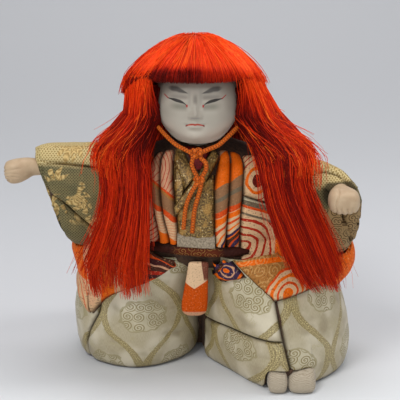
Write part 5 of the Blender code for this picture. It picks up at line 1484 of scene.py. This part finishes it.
RIGHT_HAND = [x_oval(*row) for row in (
    (-81, -1, 114.6, 4.1, 4.1), (-88, -1, 114.4, 4.5, 4.6),
    (-92.5, -1.4, 114.4, 4.8, 5.0, 2.1), (-96, -2, 113.6, 5.7, 6.1, 2.3),
    (-100, -2.4, 112.6, 6.4, 6.8, 2.4), (-104.0, -2.4, 112.0, 6.3, 6.6, 2.4),
    (-107.0, -2.2, 112.2, 4.9, 5.2, 2.2), (-108.2, -2, 112.4, 2.6, 2.8),
)]
LEFT_HAND = [y_oval(*row) for row in (
    (76, -9, 103.4, 5.1, 5.1), (76, -19, 103.5, 5.5, 5.5),
    (76, -25.5, 103.2, 7.3, 6.4, 2.3), (76.2, -31, 103.1, 8.3, 6.8, 2.6),
    (76.2, -36.5, 103.1, 7.8, 6.4, 2.6), (76, -39.6, 103.2, 5.6, 4.8, 2.3),
    (76, -40.6, 103.3, 2.6, 2.4),
)]
hand_paint = Mat("hand_white", roughness=0.5, specular=0.3)
hand_paint.color(hand_paint.mix(hand_paint.noise(5.0, 2.0).step(0.3, 0.7), srgb(176, 150, 120), srgb(188, 163, 133)))
hand_paint.bump(hand_paint.noise(0.9, 2.0), 0.03)


def groove(d, half, depth):
    return depth * np.exp(-(d / half) ** 2)


def right_fingers(p):
    # Faint creases of the curled fingers at the outer end, the thumb above them.
    x, y, z = p[..., 0], p[..., 1], p[..., 2]
    front = smooth(y, 0.5, -3.0)
    bow = ((x + 103.0) / 6.0) ** 2 * 0.8
    cut = sum(groove(z - 112.2 + 2.0 * k + bow, 0.34, 0.42) for k in range(3)) * smooth(x, -98.0, -101.0)
    cut = cut + groove(z - 114.2 - (x + 104) * 0.16, 0.4, 0.45) * smooth(x, -97.0, -100.0)
    return cut * front


def left_fingers(p):
    x, y, z = p[..., 0], p[..., 1], p[..., 2]
    front = smooth(y, -30.0, -34.0)
    cut = sum(groove(x - 71.6 - 3.0 * k + (z - 98.0) * 0.12, 0.42, 0.75) for k in range(4)) * smooth(z, 102.6, 99.6)
    cut = cut + groove(x - 71.2 - (z - 104) * 0.28, 0.5, 0.7) * smooth(z, 101.0, 103.0)
    return cut * front


for name, rings, cut_of in (("right_hand", RIGHT_HAND, right_fingers), ("left_hand", LEFT_HAND, left_fingers)):
    grid = skin(rings, 110, 110)
    way = unit(np.cross(np.gradient(grid, axis=0), np.roll(grid, -1, axis=1) - np.roll(grid, 1, axis=1)))
    out = grid - grid.mean(axis=1, keepdims=True)
    way *= np.where(np.sum(way * out, axis=2, keepdims=True) < 0, -1, 1)
    grid = grid - way * cut_of(grid)[..., None]
    hand = make(name + "_shell", grid, skin_faces(110, 110), hand_paint.mat)
    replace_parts(hand, name)


# floor, backdrop and lights

def backdrop():
    depth = [(-1.2, 0.0), (-0.4, 0.0), (0.3, 0.0), (0.62, 0.02), (0.82, 0.10), (0.92, 0.26), (0.96, 0.6), (0.97, 1.4)]
    line = even_curve(depth, 60)
    verts = [(x, p[0], p[1]) for p in line for x in (-2.2, 2.2)]
    faces = [(2*k, 2*k + 1, 2*k + 3, 2*k + 2) for k in range(len(line) - 1)]
    mesh = bpy.data.meshes.new("backdrop")
    mesh.from_pydata(verts, [], faces)
    mesh.polygons.foreach_set("use_smooth", [True] * len(mesh.polygons))
    obj = bpy.data.objects.new("backdrop", mesh)
    scene.collection.objects.link(obj)
    paper = Mat("backdrop_paper", roughness=0.9)
    # the paper is lighter towards the front: painted light
    paper.color(paper.mix(paper.y.step(60.0, -230.0), srgb(203, 204, 207), srgb(243, 248, 249)))
    mesh.materials.append(paper.mat)
    return obj


backdrop()


def area(name, place, target, size, power):
    data = bpy.data.lights.new(name, "AREA")
    data.shape = "DISK"
    data.size = size
    data.energy = power
    lamp = bpy.data.objects.new(name, data)
    scene.collection.objects.link(lamp)
    lamp.location = place
    lamp.rotation_euler = (Vector(target) - Vector(place)).to_track_quat("-Z", "Y").to_euler()


MIDDLE = (0, -0.03, 0.10)
area("key", (-0.42, -0.72, 0.95), MIDDLE, 0.40, 5.9)
area("fill", (0.02, -1.20, 0.34), MIDDLE, 0.8, 2.3)
area("right", (0.62, 0.02, 0.70), (0.02, -0.02, 0.12), 0.35, 2.0)
area("top", (0.05, 0.05, 1.20), (0, 0, 0.1), 0.7, 5.6)
world = bpy.data.worlds.new("room")
world.use_nodes = True
world.node_tree.nodes["Background"].inputs["Color"].default_value = (*srgb(200, 201, 204), 1.0)
world.node_tree.nodes["Background"].inputs["Strength"].default_value = 0.52
scene.world = world
scene.view_settings.view_transform = "Standard"
